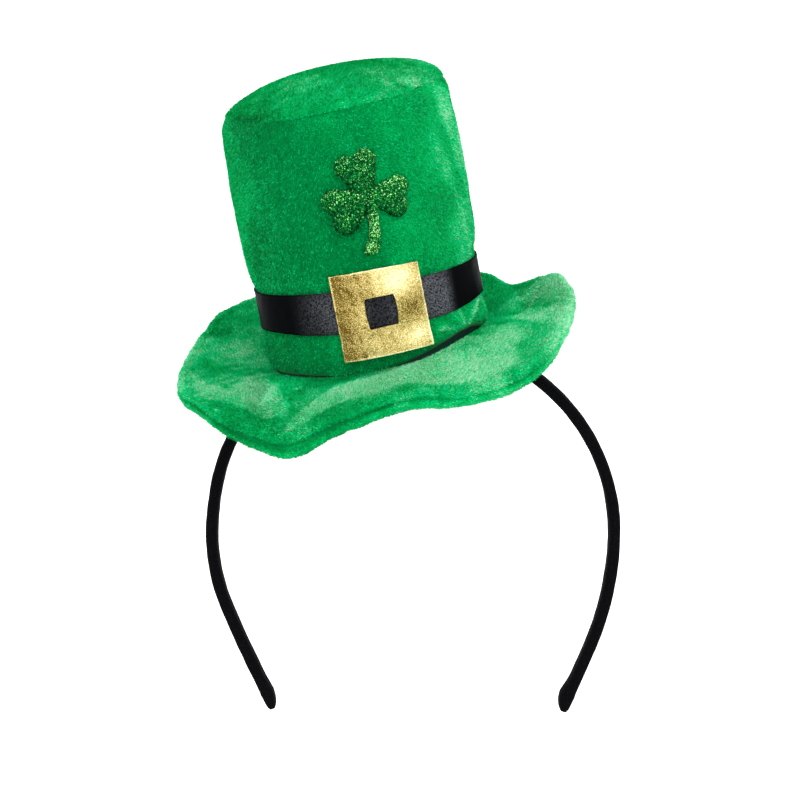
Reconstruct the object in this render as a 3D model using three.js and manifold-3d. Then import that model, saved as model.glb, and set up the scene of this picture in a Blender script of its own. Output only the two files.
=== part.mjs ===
// Mini top hat on a headband, in millimetres, +Z up.
// The origin is the inner apex of the headband, where it sits on a head.
// The hat faces -Y and leans towards -X. Its own frame has the crown's axis as Z
// and its zero height where the foot of the crown meets the brim.
import * as THREE from "three";
import { mergeVertices } from "three/addons/utils/BufferGeometryUtils.js";
import Module from "manifold-3d";

const wasm = await Module();
wasm.setup();

// Driving dimensions
const GAP = 0.3; // clearance between pieces that meet

// The springy arch: an arc over the head, legs that turn in, and straight ends.
const ARCH_RADIUS = 68.4; // of the centreline
const BAND_THICKNESS = 4.2; // in the plane of the arch
const BAND_DEPTH = 7; // front to back
const BAND_SQUARENESS = 0.7; // of its section: 1 is an ellipse, 0 a box
// Each leg: degrees that the arc goes on below its widest level, the radius with which the leg
// turns in, its final slope from upright, its straight end, and the end's extra on the inner side
const LEFT_LEG = { arcEnd: 19.2, radius: 392, slope: 22.3, straight: 19.2, flare: 0.2 };
const RIGHT_LEG = { arcEnd: 3, radius: 110, slope: 24.2, straight: 24, flare: 0.9 };

// Where the hat sits on the arch
const HAT_LEAN = 8.4; // degrees from upright
const HAT_SHIFT = 0.6; // along the brim, towards +X

const CROWN_WALL = 2.4;
const WALL_LEVELS = [80, 60, 32, 19, 8, 1.2]; // heights of the rings inside the wall
const WALL_ROUND = { drop: 0.5, share: 0.6 }; // rounding of the wall's two free edges
const SEAM_HEIGHT = 84.5; // of the seam round the crown's top
const SEAM_RADIUS = 36.4;
const SEAM_SLANT = 1.1; // how much higher the seam is at the right than at the middle
const DOME_RISE = 11; // of the top above its seam
const DOME_OVERHANG = 0.4; // how far it stands out over the seam
const DOME_TURNS = [90, 72, 54, 38, 24, 12, 0]; // degrees of its rings, from the middle down

const BRIM_HOLE = 34.4;
const HOLE_ROUND = 1.2; // rounding of the hole's two edges
const BRIM_FOOT = 39.5; // radius up to which the brim is flat under the crown
const BRIM_REACH = 67.5;
const BRIM_INNER_THICKNESS = 4.1;
const BRIM_EDGE_THICKNESS = 6.2;
const BRIM_SEAM = { depth: 1.1, width: 1.6 }; // groove round the edge where two layers are sewn
const BRIM_RINGS = [0.14, 0.34, 0.54, 0.76]; // rings between foot and edge, as shares
const RIM_TURNS = [90, 62, 34]; // degrees of the rings on the edge's upper half
const BRIM_CURL = 1.4; // over 1, the brim bends more towards its edge
const FOLD_BIAS = 0.8; // under 1, folds are deepest nearer to the crown

const RIBBON_WIDTH = 14;
const RIBBON_MIDDLE = 20; // height of its centre line
const RIBBON_SLANT = { rise: 1, towards: 215 }; // it lies this much higher on its left front
const RIBBON_THICKNESS = 0.8;
const RIBBON_BED = 37; // radius to which the ribbon pulls the crown in

const BUCKLE = { width: 29.2, height: 28.2, thickness: 1, angle: 276.2, level: 19.1, turn: 0.7 };
const BUCKLE_HOLE = { width: 9, height: 9.6 };
const BUCKLE_STEPS = { across: 12, up: 6 };

const SHAMROCK = { angle: 279.8, height: 56.6, thickness: 2.4 };

// Outer radius of the crown by height above its foot
const CROWN_PROFILE = [
  { height: 0, radius: 36 },
  { height: 2, radius: 37 },
  { height: 5.5, radius: 37.6 },
  { height: 9, radius: 37.4 },
  { height: RIBBON_MIDDLE - RIBBON_WIDTH / 2 - RIBBON_SLANT.rise, radius: RIBBON_BED },
  { height: RIBBON_MIDDLE, radius: RIBBON_BED },
  { height: RIBBON_MIDDLE + RIBBON_WIDTH / 2 + RIBBON_SLANT.rise, radius: RIBBON_BED },
  { height: 30.4, radius: 37.8 },
  { height: 36, radius: 38.5 },
  { height: 52, radius: 38.9 },
  { height: 68, radius: 38.7 },
  { height: 79, radius: 38.3 },
  { height: 82.5, radius: 37.7 },
  { height: SEAM_HEIGHT, radius: SEAM_RADIUS },
];

// The brim's edge: its height above the crown's foot and its reach, by angle round the crown.
// Angle 0 is the right side, 90 the back, 180 the left side and 270 the front.
const BRIM_EDGE = [
  { angle: 0, height: 7.5, reach: 67.2 },
  { angle: 20, height: 9.2, reach: 67.5 },
  { angle: 40, height: 4, reach: 67.5 },
  { angle: 60, height: 7, reach: 67.5 },
  { angle: 90, height: 11, reach: 67.5 },
  { angle: 120, height: 14.5, reach: 67.5 },
  { angle: 145, height: 11, reach: 68 },
  { angle: 165, height: 3.5, reach: 68.6 },
  { angle: 185, height: -1, reach: 69 },
  { angle: 205, height: -3, reach: 68.6 },
  { angle: 225, height: -10.3, reach: 68 },
  { angle: 242, height: -15, reach: 68 },
  { angle: 258, height: -9.3, reach: 67.8 },
  { angle: 276, height: -5.6, reach: 67.4 },
  { angle: 292, height: -8.6, reach: 67.4 },
  { angle: 308, height: -9.4, reach: 67.6 },
  { angle: 325, height: -5, reach: 67.4 },
  { angle: 343, height: 2.8, reach: 67.2 },
];

// Folds that run across the brim: where each starts at the crown and ends at the edge,
// its half width in degrees, and how far its line lies below the surface round it.
const BRIM_FOLDS = [
  { atCrown: 205, atEdge: 240, spread: 13, depth: 3 },
  { atCrown: 350, atEdge: 38, spread: 16, depth: 2.2 },
  { atCrown: 282, atEdge: 279, spread: 8, depth: -0.9 },
];

// Stretches where the foot of the crown stands off the brim
const HEM_LIFTS = [
  { angle: 318, spread: 34, lift: 2 },
  { angle: 235, spread: 30, lift: 0.5 },
];
const HEM_FADE = 9; // height over which this lift fades out

// Leaves of the shamrock: direction from its middle, length and width
const LEAVES = [
  { angle: 102, length: 14.2, width: 12.8 },
  { angle: -12, length: 12.6, width: 12.6 },
  { angle: 200, length: 13.5, width: 13.4 },
];
const LEAF_ROOT = 1.4; // how far each leaf reaches back past the shamrock's middle
const LOBE_SHARE = 0.56; // radius of a leaf's lobes as a share of its half width
const LEAF_FULLNESS = 0.75; // under 1, a leaf's sides bulge

// Its stem, by distance below the middle
const STEM = [
  { down: 0, across: 0.1, width: 3 },
  { down: 7, across: 0.2, width: 2.8 },
  { down: 12, across: -0.2, width: 3 },
  { down: 15.6, across: -1, width: 3.8 },
  { down: 18.6, across: -2.2, width: 4.6 },
];

// Its padding: shares of the way out to its outline, and heights as shares of its thickness
const SHAMROCK_RINGS = [
  { share: 0.5, height: 0 },
  { share: 1, height: 0 },
  { share: 1, height: 0.45 },
  { share: 0.93, height: 0.8 },
  { share: 0.78, height: 0.97 },
  { share: 0.4, height: 1 },
];

// The headband's wrapped end by distance from its tip: shares of the half thickness inwards
// and outwards, of the end's flare and of the half depth
const TIP_SECTION = [
  { at: 0, inward: 0.1, outward: 0.55, flare: 0, depth: 0.72 },
  { at: 1.8, inward: 0.6, outward: 0.95, flare: 0.5, depth: 0.92 },
  { at: 5.5, inward: 1, outward: 1, flare: 1, depth: 1 },
  { at: 12, inward: 1, outward: 1, flare: 0.15, depth: 1 },
  { at: 16, inward: 1, outward: 1, flare: 0, depth: 1 },
];

// How fine the faces are
const CROWN_STEPS = 60;
const BRIM_STEPS = 84;
const ARCH_STEPS = 96;
const SHAMROCK_STEPS = 96;
const BAND_CORNERS = 10; // of the headband's section
const REACH_STEP = 0.04; // with which the shamrock's outline is found
const WELD = 1e-4; // distance under which corners are joined

// Worked-out sizes
const ARCH_CENTRE = -(ARCH_RADIUS - BAND_THICKNESS / 2);
const ARCH_OUTER = ARCH_RADIUS + BAND_THICKNESS / 2;
const BEARING_RADIUS = BRIM_HOLE + HOLE_ROUND; // where the brim's inner edge bears on the arch
const HAT_SEAT =
  Math.sqrt((ARCH_OUTER + GAP) ** 2 - (BEARING_RADIUS - HAT_SHIFT) ** 2) + BRIM_INNER_THICKNESS;

const radians = THREE.MathUtils.degToRad;
const degrees = THREE.MathUtils.radToDeg;

// Smooth value of a table's column at x, by cubic pieces through its rows.
// With a period the rows wrap round.
function smooth(rows, key, column, x, period = 0) {
  const count = rows.length;
  const row = (i) => {
    const turn = period ? Math.floor(i / count) : 0;
    const index = period ? i - turn * count : THREE.MathUtils.clamp(i, 0, count - 1);
    return { x: rows[index][key] + turn * period, y: rows[index][column] };
  };
  const slope = (i) => {
    const [before, after] = [row(i - 1), row(i + 1)];
    return (after.y - before.y) / (after.x - before.x);
  };
  const first = rows[0][key];
  const at = period ? first + THREE.MathUtils.euclideanModulo(x - first, period) : x;
  let i = 0;
  while (i < count - 1 && rows[i + 1][key] <= at) i += 1;
  const [start, end] = [row(i), row(i + 1)];
  const span = end.x - start.x;
  if (span === 0) return start.y;
  const t = THREE.MathUtils.clamp((at - start.x) / span, 0, 1);
  const rise = (end.y - start.y) * t * t * (3 - 2 * t);
  const lead = slope(i) * span * t * (1 - t) ** 2;
  const trail = slope(i + 1) * span * t * t * (1 - t);
  return start.y + rise + lead - trail;
}

// Height of a smooth hump, 1 at its middle and 0 from its spread outwards, by angle in degrees
function hump(angle, middle, spread) {
  const away = THREE.MathUtils.euclideanModulo(angle - middle + 180, 360) - 180;
  const share = Math.min(Math.abs(away) / spread, 1);
  return (1 + Math.cos(Math.PI * share)) / 2;
}

// Moves each point of a geometry to where move(angle, radius, height) puts it.
function sculpt(geometry, move) {
  const position = geometry.getAttribute("position");
  const point = new THREE.Vector3();
  for (let i = 0; i < position.count; i += 1) {
    point.fromBufferAttribute(position, i);
    const angle = THREE.MathUtils.euclideanModulo(degrees(Math.atan2(point.y, point.x)), 360);
    const [radius, height] = move(angle, Math.hypot(point.x, point.y), point.z);
    const turn = radians(angle);
    position.setXYZ(i, radius * Math.cos(turn), radius * Math.sin(turn), height);
  }
  return welded(geometry);
}

// The geometry with only its places left and shared corners joined
function welded(geometry) {
  geometry.deleteAttribute("normal");
  geometry.deleteAttribute("uv");
  return mergeVertices(geometry, WELD);
}

// Turns a profile of [radius, height] pairs round the crown's axis.
function turned(profile, steps) {
  const points = profile.map(([radius, height]) => new THREE.Vector2(radius, height));
  return new THREE.LatheGeometry(points, steps).rotateX(Math.PI / 2);
}

function solidOf(geometry) {
  const clean = welded(geometry);
  return new wasm.Manifold(
    new wasm.Mesh({
      numProp: 3,
      vertProperties: new Float32Array(clean.getAttribute("position").array),
      triVerts: new Uint32Array(clean.index.array),
    }),
  );
}

function geometryOf(solid) {
  const mesh = solid.getMesh();
  return new THREE.BufferGeometry()
    .setAttribute("position", new THREE.BufferAttribute(mesh.vertProperties, 3))
    .setIndex(new THREE.BufferAttribute(mesh.triVerts, 1));
}

// Skins closed rings of points, one after the other, and closes the two ends on a point each.
function lofted(rings, startPoint, endPoint) {
  const size = rings[0].length;
  const places = [...rings.flat(), startPoint, endPoint];
  const [startCap, endCap] = [places.length - 2, places.length - 1];
  const faces = [];
  for (let i = 0; i < size; i += 1) {
    const j = (i + 1) % size;
    for (let k = 0; k < rings.length - 1; k += 1) {
      const [low, high] = [k * size, (k + 1) * size];
      faces.push(low + i, low + j, high + j);
      faces.push(low + i, high + j, high + i);
    }
    const last = (rings.length - 1) * size;
    faces.push(startCap, j, i);
    faces.push(endCap, last + i, last + j);
  }
  return new THREE.BufferGeometry().setFromPoints(places).setIndex(faces);
}

function crownRadius(height) {
  return smooth(CROWN_PROFILE, "height", "radius", height);
}

// How far a point of the crown's side is lifted by the slanting seam and the loose hem.
// Only the outside of the hem lifts: the inside stays down on the brim.
function crownLift(angle, radius, height) {
  const share = THREE.MathUtils.clamp(height / SEAM_HEIGHT, 0, 1);
  const slant = SEAM_SLANT * Math.cos(radians(angle)) * share ** 3;
  const low = THREE.MathUtils.clamp(1 - height / HEM_FADE, 0, 1);
  const fromOutside = (crownRadius(0) - radius) / (CROWN_WALL * WALL_ROUND.share);
  const outside = THREE.MathUtils.clamp(1 - fromOutside, 0, 1);
  const hem = HEM_LIFTS.reduce((sum, h) => sum + h.lift * hump(angle, h.angle, h.spread), 0);
  return slant + hem * low * outside;
}

function crownSide() {
  const outside = CROWN_PROFILE.map(({ height, radius }) => [radius, height + GAP]);
  const rounded = CROWN_WALL * WALL_ROUND.share;
  const roll = [SEAM_RADIUS - rounded, SEAM_HEIGHT + GAP - WALL_ROUND.drop];
  const inside = WALL_LEVELS.map((height) => [crownRadius(height) - CROWN_WALL, height + GAP]);
  const hem = [crownRadius(0) - rounded, GAP];
  const profile = [...outside, roll, ...inside, hem, outside[0]];
  return sculpt(turned(profile, CROWN_STEPS), (angle, radius, height) => [
    radius,
    height + crownLift(angle, radius, height),
  ]);
}

// The dome is half an ellipse in section.
function crownTop() {
  const seat = SEAM_HEIGHT + 2 * GAP;
  const arc = (radius, rise) =>
    DOME_TURNS.map((turn) => [
      radius * Math.cos(radians(turn)),
      seat + rise * Math.sin(radians(turn)),
    ]);
  const outer = arc(SEAM_RADIUS + DOME_OVERHANG, DOME_RISE);
  const inner = arc(SEAM_RADIUS - CROWN_WALL, DOME_RISE - CROWN_WALL).reverse();
  const onAxis = (points, i) => points.map((p, k) => (k === i ? [0, p[1]] : p));
  const profile = [...onAxis(outer, 0), ...onAxis(inner, inner.length - 1)].reverse();
  return sculpt(turned(profile, CROWN_STEPS), (angle, radius, height) => [
    radius,
    height + SEAM_SLANT * Math.cos(radians(angle)) * (radius / SEAM_RADIUS),
  ]);
}

// Closed section of the brim before it is bent: flat, with a full edge grooved by its seam
function brimProfile() {
  const inner = BRIM_INNER_THICKNESS;
  const half = BRIM_EDGE_THICKNESS / 2;
  const middle = -inner / 2;
  const edgeMiddle = BRIM_REACH - half;
  const above = BRIM_RINGS.map((share) => [
    THREE.MathUtils.lerp(BRIM_FOOT, edgeMiddle, share),
    THREE.MathUtils.lerp(0, middle + half, share),
  ]);
  const rim = (turn) => [
    edgeMiddle + half * Math.cos(radians(turn)),
    middle + half * Math.sin(radians(turn)),
  ];
  const lip = degrees(Math.asin(BRIM_SEAM.width / 2 / half));
  const upper = [...RIM_TURNS, lip].map(rim);
  const lower = [...RIM_TURNS, lip].reverse().map((turn) => rim(-turn));
  const edge = [...upper, [BRIM_REACH - BRIM_SEAM.depth, middle], ...lower];
  const below = above.map(([radius, height]) => [radius, 2 * middle - height]).reverse();
  const hole = [
    [BEARING_RADIUS, -inner],
    [BRIM_HOLE, -inner + HOLE_ROUND],
    [BRIM_HOLE, -HOLE_ROUND],
    [BEARING_RADIUS, 0],
  ];
  return [...hole, ...above, ...edge, ...below, hole[0]].reverse();
}

// How the brim is bent at an angle and a share of the way from the crown to the edge
function brimHeight(angle, share) {
  const edge = smooth(BRIM_EDGE, "angle", "height", angle, 360) + BRIM_INNER_THICKNESS / 2;
  const folds = BRIM_FOLDS.reduce((sum, fold) => {
    const swing = THREE.MathUtils.euclideanModulo(fold.atEdge - fold.atCrown + 180, 360) - 180;
    const line = fold.atCrown + swing * share;
    const along = Math.sin(Math.PI * share ** FOLD_BIAS);
    return sum - fold.depth * hump(angle, line, fold.spread) * along;
  }, 0);
  return edge * share ** BRIM_CURL + folds;
}

function brim() {
  return sculpt(turned(brimProfile(), BRIM_STEPS), (angle, radius, height) => {
    const share = THREE.MathUtils.clamp((radius - BRIM_FOOT) / (BRIM_REACH - BRIM_FOOT), 0, 1);
    const reach = smooth(BRIM_EDGE, "angle", "reach", angle, 360) - BRIM_REACH;
    return [radius + reach * share, height + brimHeight(angle, share)];
  });
}

function hatBand() {
  const low = RIBBON_MIDDLE - RIBBON_WIDTH / 2;
  const high = RIBBON_MIDDLE + RIBBON_WIDTH / 2;
  const inner = RIBBON_BED + GAP;
  const outer = inner + RIBBON_THICKNESS;
  const profile = [
    [inner, low],
    [outer, low],
    [outer, high],
    [inner, high],
    [inner, low],
  ];
  return sculpt(turned(profile, CROWN_STEPS), (angle, radius, height) => [
    radius,
    height + RIBBON_SLANT.rise * Math.cos(radians(angle - RIBBON_SLANT.towards)),
  ]);
}

// Lays a flat geometry, drawn in X across, Y up and Z outwards, round the front of the crown.
function wrapped(geometry, angle, height, seat) {
  const position = geometry.getAttribute("position");
  const point = new THREE.Vector3();
  for (let i = 0; i < position.count; i += 1) {
    point.fromBufferAttribute(position, i);
    const level = height + point.y;
    const base = seat(level);
    const turn = radians(angle) + point.x / base;
    const radius = base + point.z;
    position.setXYZ(i, radius * Math.cos(turn), radius * Math.sin(turn), level);
  }
  return welded(geometry);
}

function buckle() {
  const { width, height, thickness, angle, level, turn } = BUCKLE;
  const { across, up } = BUCKLE_STEPS;
  const plate = new THREE.BoxGeometry(width, height, thickness, across, up, 1);
  const window = new THREE.BoxGeometry(BUCKLE_HOLE.width, BUCKLE_HOLE.height, 3 * thickness);
  const frame = geometryOf(solidOf(plate).subtract(solidOf(window)));
  frame.rotateZ(radians(turn)).translate(0, 0, thickness / 2);
  const widest = Math.max(crownRadius(level - height / 2), crownRadius(level + height / 2));
  const bed = Math.max(RIBBON_BED + GAP + RIBBON_THICKNESS, widest) + GAP;
  return wrapped(frame, angle, level, () => bed);
}

// Whether a point of the flat shamrock, seen from its middle, lies on a leaf:
// a leaf widens from its root and ends in two round lobes.
function onLeaf({ angle, length, width }, at) {
  const turn = radians(angle);
  const along = at.x * Math.cos(turn) + at.y * Math.sin(turn) + LEAF_ROOT;
  const across = Math.abs(at.y * Math.cos(turn) - at.x * Math.sin(turn));
  const side = width / 2;
  const lobe = side * LOBE_SHARE;
  const neck = length + LEAF_ROOT - lobe;
  const inLobe = Math.hypot(along - neck, across - (side - lobe)) < lobe;
  const inWedge = along > 0 && along < neck && across < side * (along / neck) ** LEAF_FULLNESS;
  return inLobe || inWedge;
}

function onStem(at) {
  const down = -at.y;
  const inside = down > 0 && down < STEM[STEM.length - 1].down;
  const middle = smooth(STEM, "down", "across", down);
  return inside && Math.abs(at.x - middle) < smooth(STEM, "down", "width", down) / 2;
}

// Distance from the shamrock's middle to its outline in one direction
function shamrockReach(turn) {
  const at = new THREE.Vector2();
  let reach = REACH_STEP;
  const inside = () => {
    at.set(reach * Math.cos(turn), reach * Math.sin(turn));
    return onStem(at) || LEAVES.some((row) => onLeaf(row, at));
  };
  while (inside()) reach += REACH_STEP;
  return reach;
}

// One padded form with a flat back, drawn flat and laid on the crown
function shamrock() {
  const turns = Array.from({ length: SHAMROCK_STEPS }, (_, i) => (2 * Math.PI * i) / SHAMROCK_STEPS);
  const reaches = turns.map(shamrockReach);
  const ring = ({ share, height }) =>
    turns.map((turn, i) => {
      const reach = share * reaches[i];
      const level = height * SHAMROCK.thickness;
      return new THREE.Vector3(reach * Math.cos(turn), reach * Math.sin(turn), level);
    });
  const back = new THREE.Vector3(0, 0, 0);
  const front = new THREE.Vector3(0, 0, SHAMROCK.thickness);
  const flat = lofted(SHAMROCK_RINGS.map(ring), back, front);
  const seat = (height) => crownRadius(height) + 2 * GAP;
  return wrapped(flat, SHAMROCK.angle, SHAMROCK.height, seat);
}

// Where a leg's bend has its centre, where the bend ends, and where the leg ends
function legPoints({ arcEnd, radius, slope, straight }, sign) {
  const [start, end] = [radians(arcEnd), radians(slope)];
  const offset = radius - ARCH_RADIUS;
  const centre = new THREE.Vector2(
    -sign * offset * Math.cos(start),
    ARCH_CENTRE + offset * Math.sin(start),
  );
  const out = new THREE.Vector2(sign * Math.cos(end), -Math.sin(end));
  const way = new THREE.Vector2(-sign * Math.sin(end), -Math.cos(end));
  const knee = centre.clone().addScaledVector(out, radius);
  return { centre, knee, tip: knee.clone().addScaledVector(way, straight), start, end, radius };
}

// Centreline of the headband in its own plane, from the left end over the arch to the right end
function archLine() {
  const [left, right] = [legPoints(LEFT_LEG, -1), legPoints(RIGHT_LEG, 1)];
  const bend = (leg, from, to) =>
    line.absarc(leg.centre.x, leg.centre.y, leg.radius, from, to, true);
  const line = new THREE.Path();
  line.moveTo(left.tip.x, left.tip.y);
  line.lineTo(left.knee.x, left.knee.y);
  bend(left, Math.PI + left.end, Math.PI + left.start);
  line.absarc(0, ARCH_CENTRE, ARCH_RADIUS, Math.PI + left.start, -right.start, true);
  bend(right, -right.start, -right.end);
  line.lineTo(right.tip.x, right.tip.y);
  return line;
}

// Section of the headband at a distance from its end: reach inwards, reach outwards and depth
function bandSection(fromTip, flare) {
  const half = BAND_THICKNESS / 2;
  const value = (column) => smooth(TIP_SECTION, "at", column, fromTip);
  return {
    inward: half * value("inward") + flare * value("flare"),
    outward: half * value("outward"),
    depth: (BAND_DEPTH / 2) * value("depth"),
  };
}

function headband() {
  const line = archLine();
  const length = line.getLength();
  const stations = Array.from({ length: ARCH_STEPS + 1 }, (_, i) => i / ARCH_STEPS);
  const finer = TIP_SECTION.slice(1, 3).flatMap(({ at }) => [at / length, 1 - at / length]);
  const shares = [...stations, ...finer].sort((a, b) => a - b);
  const rings = shares.map((share) => {
    const at = line.getPointAt(share);
    const way = line.getTangentAt(share);
    const onLeft = share < 0.5;
    const fromTip = length * (onLeft ? share : 1 - share);
    const section = bandSection(fromTip, onLeft ? LEFT_LEG.flare : RIGHT_LEG.flare);
    return Array.from({ length: BAND_CORNERS }, (_, i) => {
      const turn = (2 * Math.PI * (i + 0.5)) / BAND_CORNERS;
      const square = (v) => Math.sign(v) * Math.abs(v) ** BAND_SQUARENESS;
      const out = square(Math.cos(turn));
      const reach = out > 0 ? out * section.outward : out * section.inward;
      const depth = square(Math.sin(turn)) * section.depth;
      return new THREE.Vector3(at.x - way.y * reach, -depth, at.y + way.x * reach);
    });
  });
  const middle = (ring) =>
    ring.reduce((sum, p) => sum.add(p), new THREE.Vector3()).divideScalar(ring.length);
  return lofted(rings, middle(rings[0]), middle(rings[rings.length - 1]));
}

// Finishes, one for each piece
function finish(colour, roughness, metalness = 0) {
  return new THREE.MeshStandardMaterial({ color: colour, roughness, metalness });
}

function piece(name, geometry, material) {
  const mesh = new THREE.Mesh(geometry, material);
  mesh.name = name;
  return mesh;
}

const hat = new THREE.Group();
hat.add(
  piece("crown_side", crownSide(), finish(0x009a48, 0.95)),
  piece("crown_top", crownTop(), finish(0x0aa050, 0.95)),
  piece("brim", brim(), finish(0x12a256, 0.95)),
  piece("hat_band", hatBand(), finish(0x1c1c20, 0.4)),
  piece("buckle", buckle(), finish(0xcfa64e, 0.35, 0.9)),
  piece("shamrock", shamrock(), finish(0x1f6b22, 0.5, 0.3)),
);
const lean = radians(HAT_LEAN);
hat.rotation.y = -lean;
hat.position.set(
  HAT_SHIFT * Math.cos(lean) - HAT_SEAT * Math.sin(lean),
  0,
  ARCH_CENTRE + HAT_SEAT * Math.cos(lean) + HAT_SHIFT * Math.sin(lean),
);

const headpiece = new THREE.Group();
headpiece.add(hat, piece("headband", headband(), finish(0x0d0d0f, 0.7)));

export default headpiece;
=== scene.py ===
"""Makes a plush mini top hat on a headband, piece by piece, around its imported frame."""

import math

import bmesh
import bpy
import numpy as np
from mathutils import Matrix, Vector


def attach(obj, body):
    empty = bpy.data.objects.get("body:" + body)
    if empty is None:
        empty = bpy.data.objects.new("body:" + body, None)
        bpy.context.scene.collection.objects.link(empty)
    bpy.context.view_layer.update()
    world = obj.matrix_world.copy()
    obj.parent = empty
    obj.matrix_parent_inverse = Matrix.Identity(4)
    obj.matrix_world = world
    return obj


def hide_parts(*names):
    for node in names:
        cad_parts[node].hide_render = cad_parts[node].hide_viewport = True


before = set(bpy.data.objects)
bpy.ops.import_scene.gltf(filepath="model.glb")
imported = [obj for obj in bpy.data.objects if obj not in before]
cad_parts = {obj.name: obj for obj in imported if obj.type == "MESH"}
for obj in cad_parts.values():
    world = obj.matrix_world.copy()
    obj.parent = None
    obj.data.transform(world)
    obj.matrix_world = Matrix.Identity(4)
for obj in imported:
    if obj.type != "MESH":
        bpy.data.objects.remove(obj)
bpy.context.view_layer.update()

bl_info = {
    "name": "Mini Top Hat",
    "version": (1, 0, 0),
    "blender": (4, 5, 0),
    "location": "3D View > Sidebar > Top Hat",
    "description": "Makes a plush mini top hat with ribbon, buckle and shamrock on a headband",
    "category": "Add Mesh",
}

MM = 0.001
TAU = 2 * math.pi
RING_COLUMNS = 256  # the most that the ring primitive makes

# Sizes of the solids, in millimetres and degrees
GAP = 0.3
ARCH_RADIUS = 68.4
BAND_THICKNESS = 4.2
BAND_DEPTH = 7
BAND_SQUARENESS = 0.7
LEFT_LEG = {"arc_end": 19.2, "radius": 392, "slope": 22.3, "straight": 19.2, "flare": 0.2}
RIGHT_LEG = {"arc_end": 3, "radius": 110, "slope": 24.2, "straight": 24, "flare": 0.9}
HAT_LEAN = 8.4
HAT_SHIFT = 0.6
CROWN_WALL = 2.4
SEAM_HEIGHT = 84.5
SEAM_RADIUS = 36.4
SEAM_SLANT = 1.1
DOME_RISE = 11
DOME_OVERHANG = 0.4
BRIM_HOLE = 34.4
HOLE_ROUND = 1.2
BRIM_FOOT = 39.5
BRIM_REACH = 67.5
BRIM_INNER_THICKNESS = 4.1
BRIM_EDGE_THICKNESS = 6.2
BRIM_CURL = 1.4
FOLD_BIAS = 0.8
RIBBON_WIDTH = 14
RIBBON_MIDDLE = 20
RIBBON_RISE = 1
RIBBON_RISE_TOWARDS = 215
RIBBON_THICKNESS = 0.8
RIBBON_BED = 37
BUCKLE = {"width": 29.2, "height": 28.2, "angle": 276.2, "level": 19.1, "turn": 0.7}
BUCKLE_HOLE = {"width": 9, "height": 9.6}
SHAMROCK = {"angle": 279.8, "height": 56.6, "thickness": 2.4}
LEAF_ROOT = 1.4
LEAF_FULLNESS = 0.75

# Sizes that only this scene has, in millimetres where no other unit is named
LOBE_SHARE = 0.52  # radius of a leaf's lobes, as a share of half its width
HEM_FADE = 11  # height at which the hem's lift has faded out
HEM_DEPTH = 1.8  # how far the inside of the hem reaches below the brim's upper side
BAND_BOW = 1.5  # how far the arch springs out below the brim on its left
PILE_ROOM = 0.6  # how far the plush ground lies inside the solids, to leave room for its pile
BRIM_GROOVE = 1.5  # depth of the groove along the seam of the brim's edge
BRIM_PUFF = 0.8  # how far the brim's padding bulges
SEAM_DRAW = 0.12  # share by which the top seam is drawn in all round
SEAM_LIFT = 2.2  # how far the top seam's puckered stretch is raised
SEAM_PUCKER = 1.4  # and how far it is drawn in
FOIL_THICKNESS = 0.8
CLOVER_CELL = 0.28  # size of the cells that melt the clover's leaves and stem into one
LEAN_SPREAD = 14  # how much the lean of the fibres varies, in degrees
LEAN_LIMITS = (8, 80)
FIBRE_SHARES = (0.55, 1.2)  # shortest and longest fibre, as shares of the pile's length
FLAKE_SIZES = (0.11, 0.21)
FLAKE_LIFTS = (0.02, 0.16)

# Numbers of fibres and flakes
CROWN_FIBRES = 196000
DOME_FIBRES = 70000
BRIM_FIBRES = 196000
UNDER_FIBRES = 110000
FLAKES = 14000

# Outer radius of the crown: height, radius
CROWN_PROFILE = (
    (0, 36),
    (2, 37),
    (5.5, 37.6),
    (9, 37.4),
    (12, RIBBON_BED),
    (20, RIBBON_BED),
    (28, RIBBON_BED),
    (30.4, 37.8),
    (36, 38.5),
    (52, 38.9),
    (68, 38.7),
    (79, 38.3),
    (82.5, 37.7),
    (SEAM_HEIGHT, SEAM_RADIUS),
)
# Edge of the brim: angle round the crown, height, reach
BRIM_EDGE = (
    (0, 7.5, 67.2),
    (20, 9.2, 67.5),
    (40, 4, 67.5),
    (60, 7, 67.5),
    (90, 11, 67.5),
    (120, 14.5, 67.5),
    (145, 11, 68),
    (165, 3.5, 68.6),
    (185, -1, 69),
    (205, -3, 68.6),
    (225, -10.3, 68),
    (242, -15, 68),
    (258, -9.3, 67.8),
    (276, -5.6, 67.4),
    (292, -8.6, 67.4),
    (308, -9.4, 67.6),
    (325, -5, 67.4),
    (343, 2.8, 67.2),
)
# Folds across the brim: angle at the crown, angle at the edge, half width, depth
BRIM_FOLDS = ((205, 240, 13, 3), (350, 38, 16, 2.2), (282, 279, 8, -0.9))
# Sharper creases on the brim's upper side: the same columns, then the shares where it starts and ends
BRIM_CREASES = (
    (203, 238, 3.2, 1.9, 0.02, 0.8),
    (259, 236, 7, -1.1, 0.05, 1.0),
    (246, 240, 4, 0.7, 0.1, 0.9),
    (330, 352, 7, -0.7, 0.1, 0.9),
    (300, 296, 9, 0.5, 0.3, 1.0),
)
# Stretches of the brim's edge that its stiff seam lifts or lowers: angle, spread, lift
EDGE_TRIM = ((158, 34, 1.8), (135, 26, 1.3), (6, 16, -1.2), (32, 12, 0.8), (44, 9, -1.8), (60, 22, 2.6))
# Stretches of the seam round the crown's top that are drawn in: angle, spread, share
SEAM_TUCKS = (
    (224, 26, 0.75),
    (188, 34, 0.7),
    (300, 14, 0.3),
    (322, 18, 0.6),
    (356, 30, 0.7),
    (100, 80, 0.5),
)
# Stretches where the hem's outside stands off the brim, or below 0 reaches into it: angle, spread, lift
HEM_LIFTS = ((314, 36, 0.7), (231, 48, 1.6), (348, 20, -1.2))
# Stretches where the brim's inner part lies higher or lower than its hole: angle, spread, rise
FOOT_RISES = ((332, 60, 4.6), (242, 42, -1.4))
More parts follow.
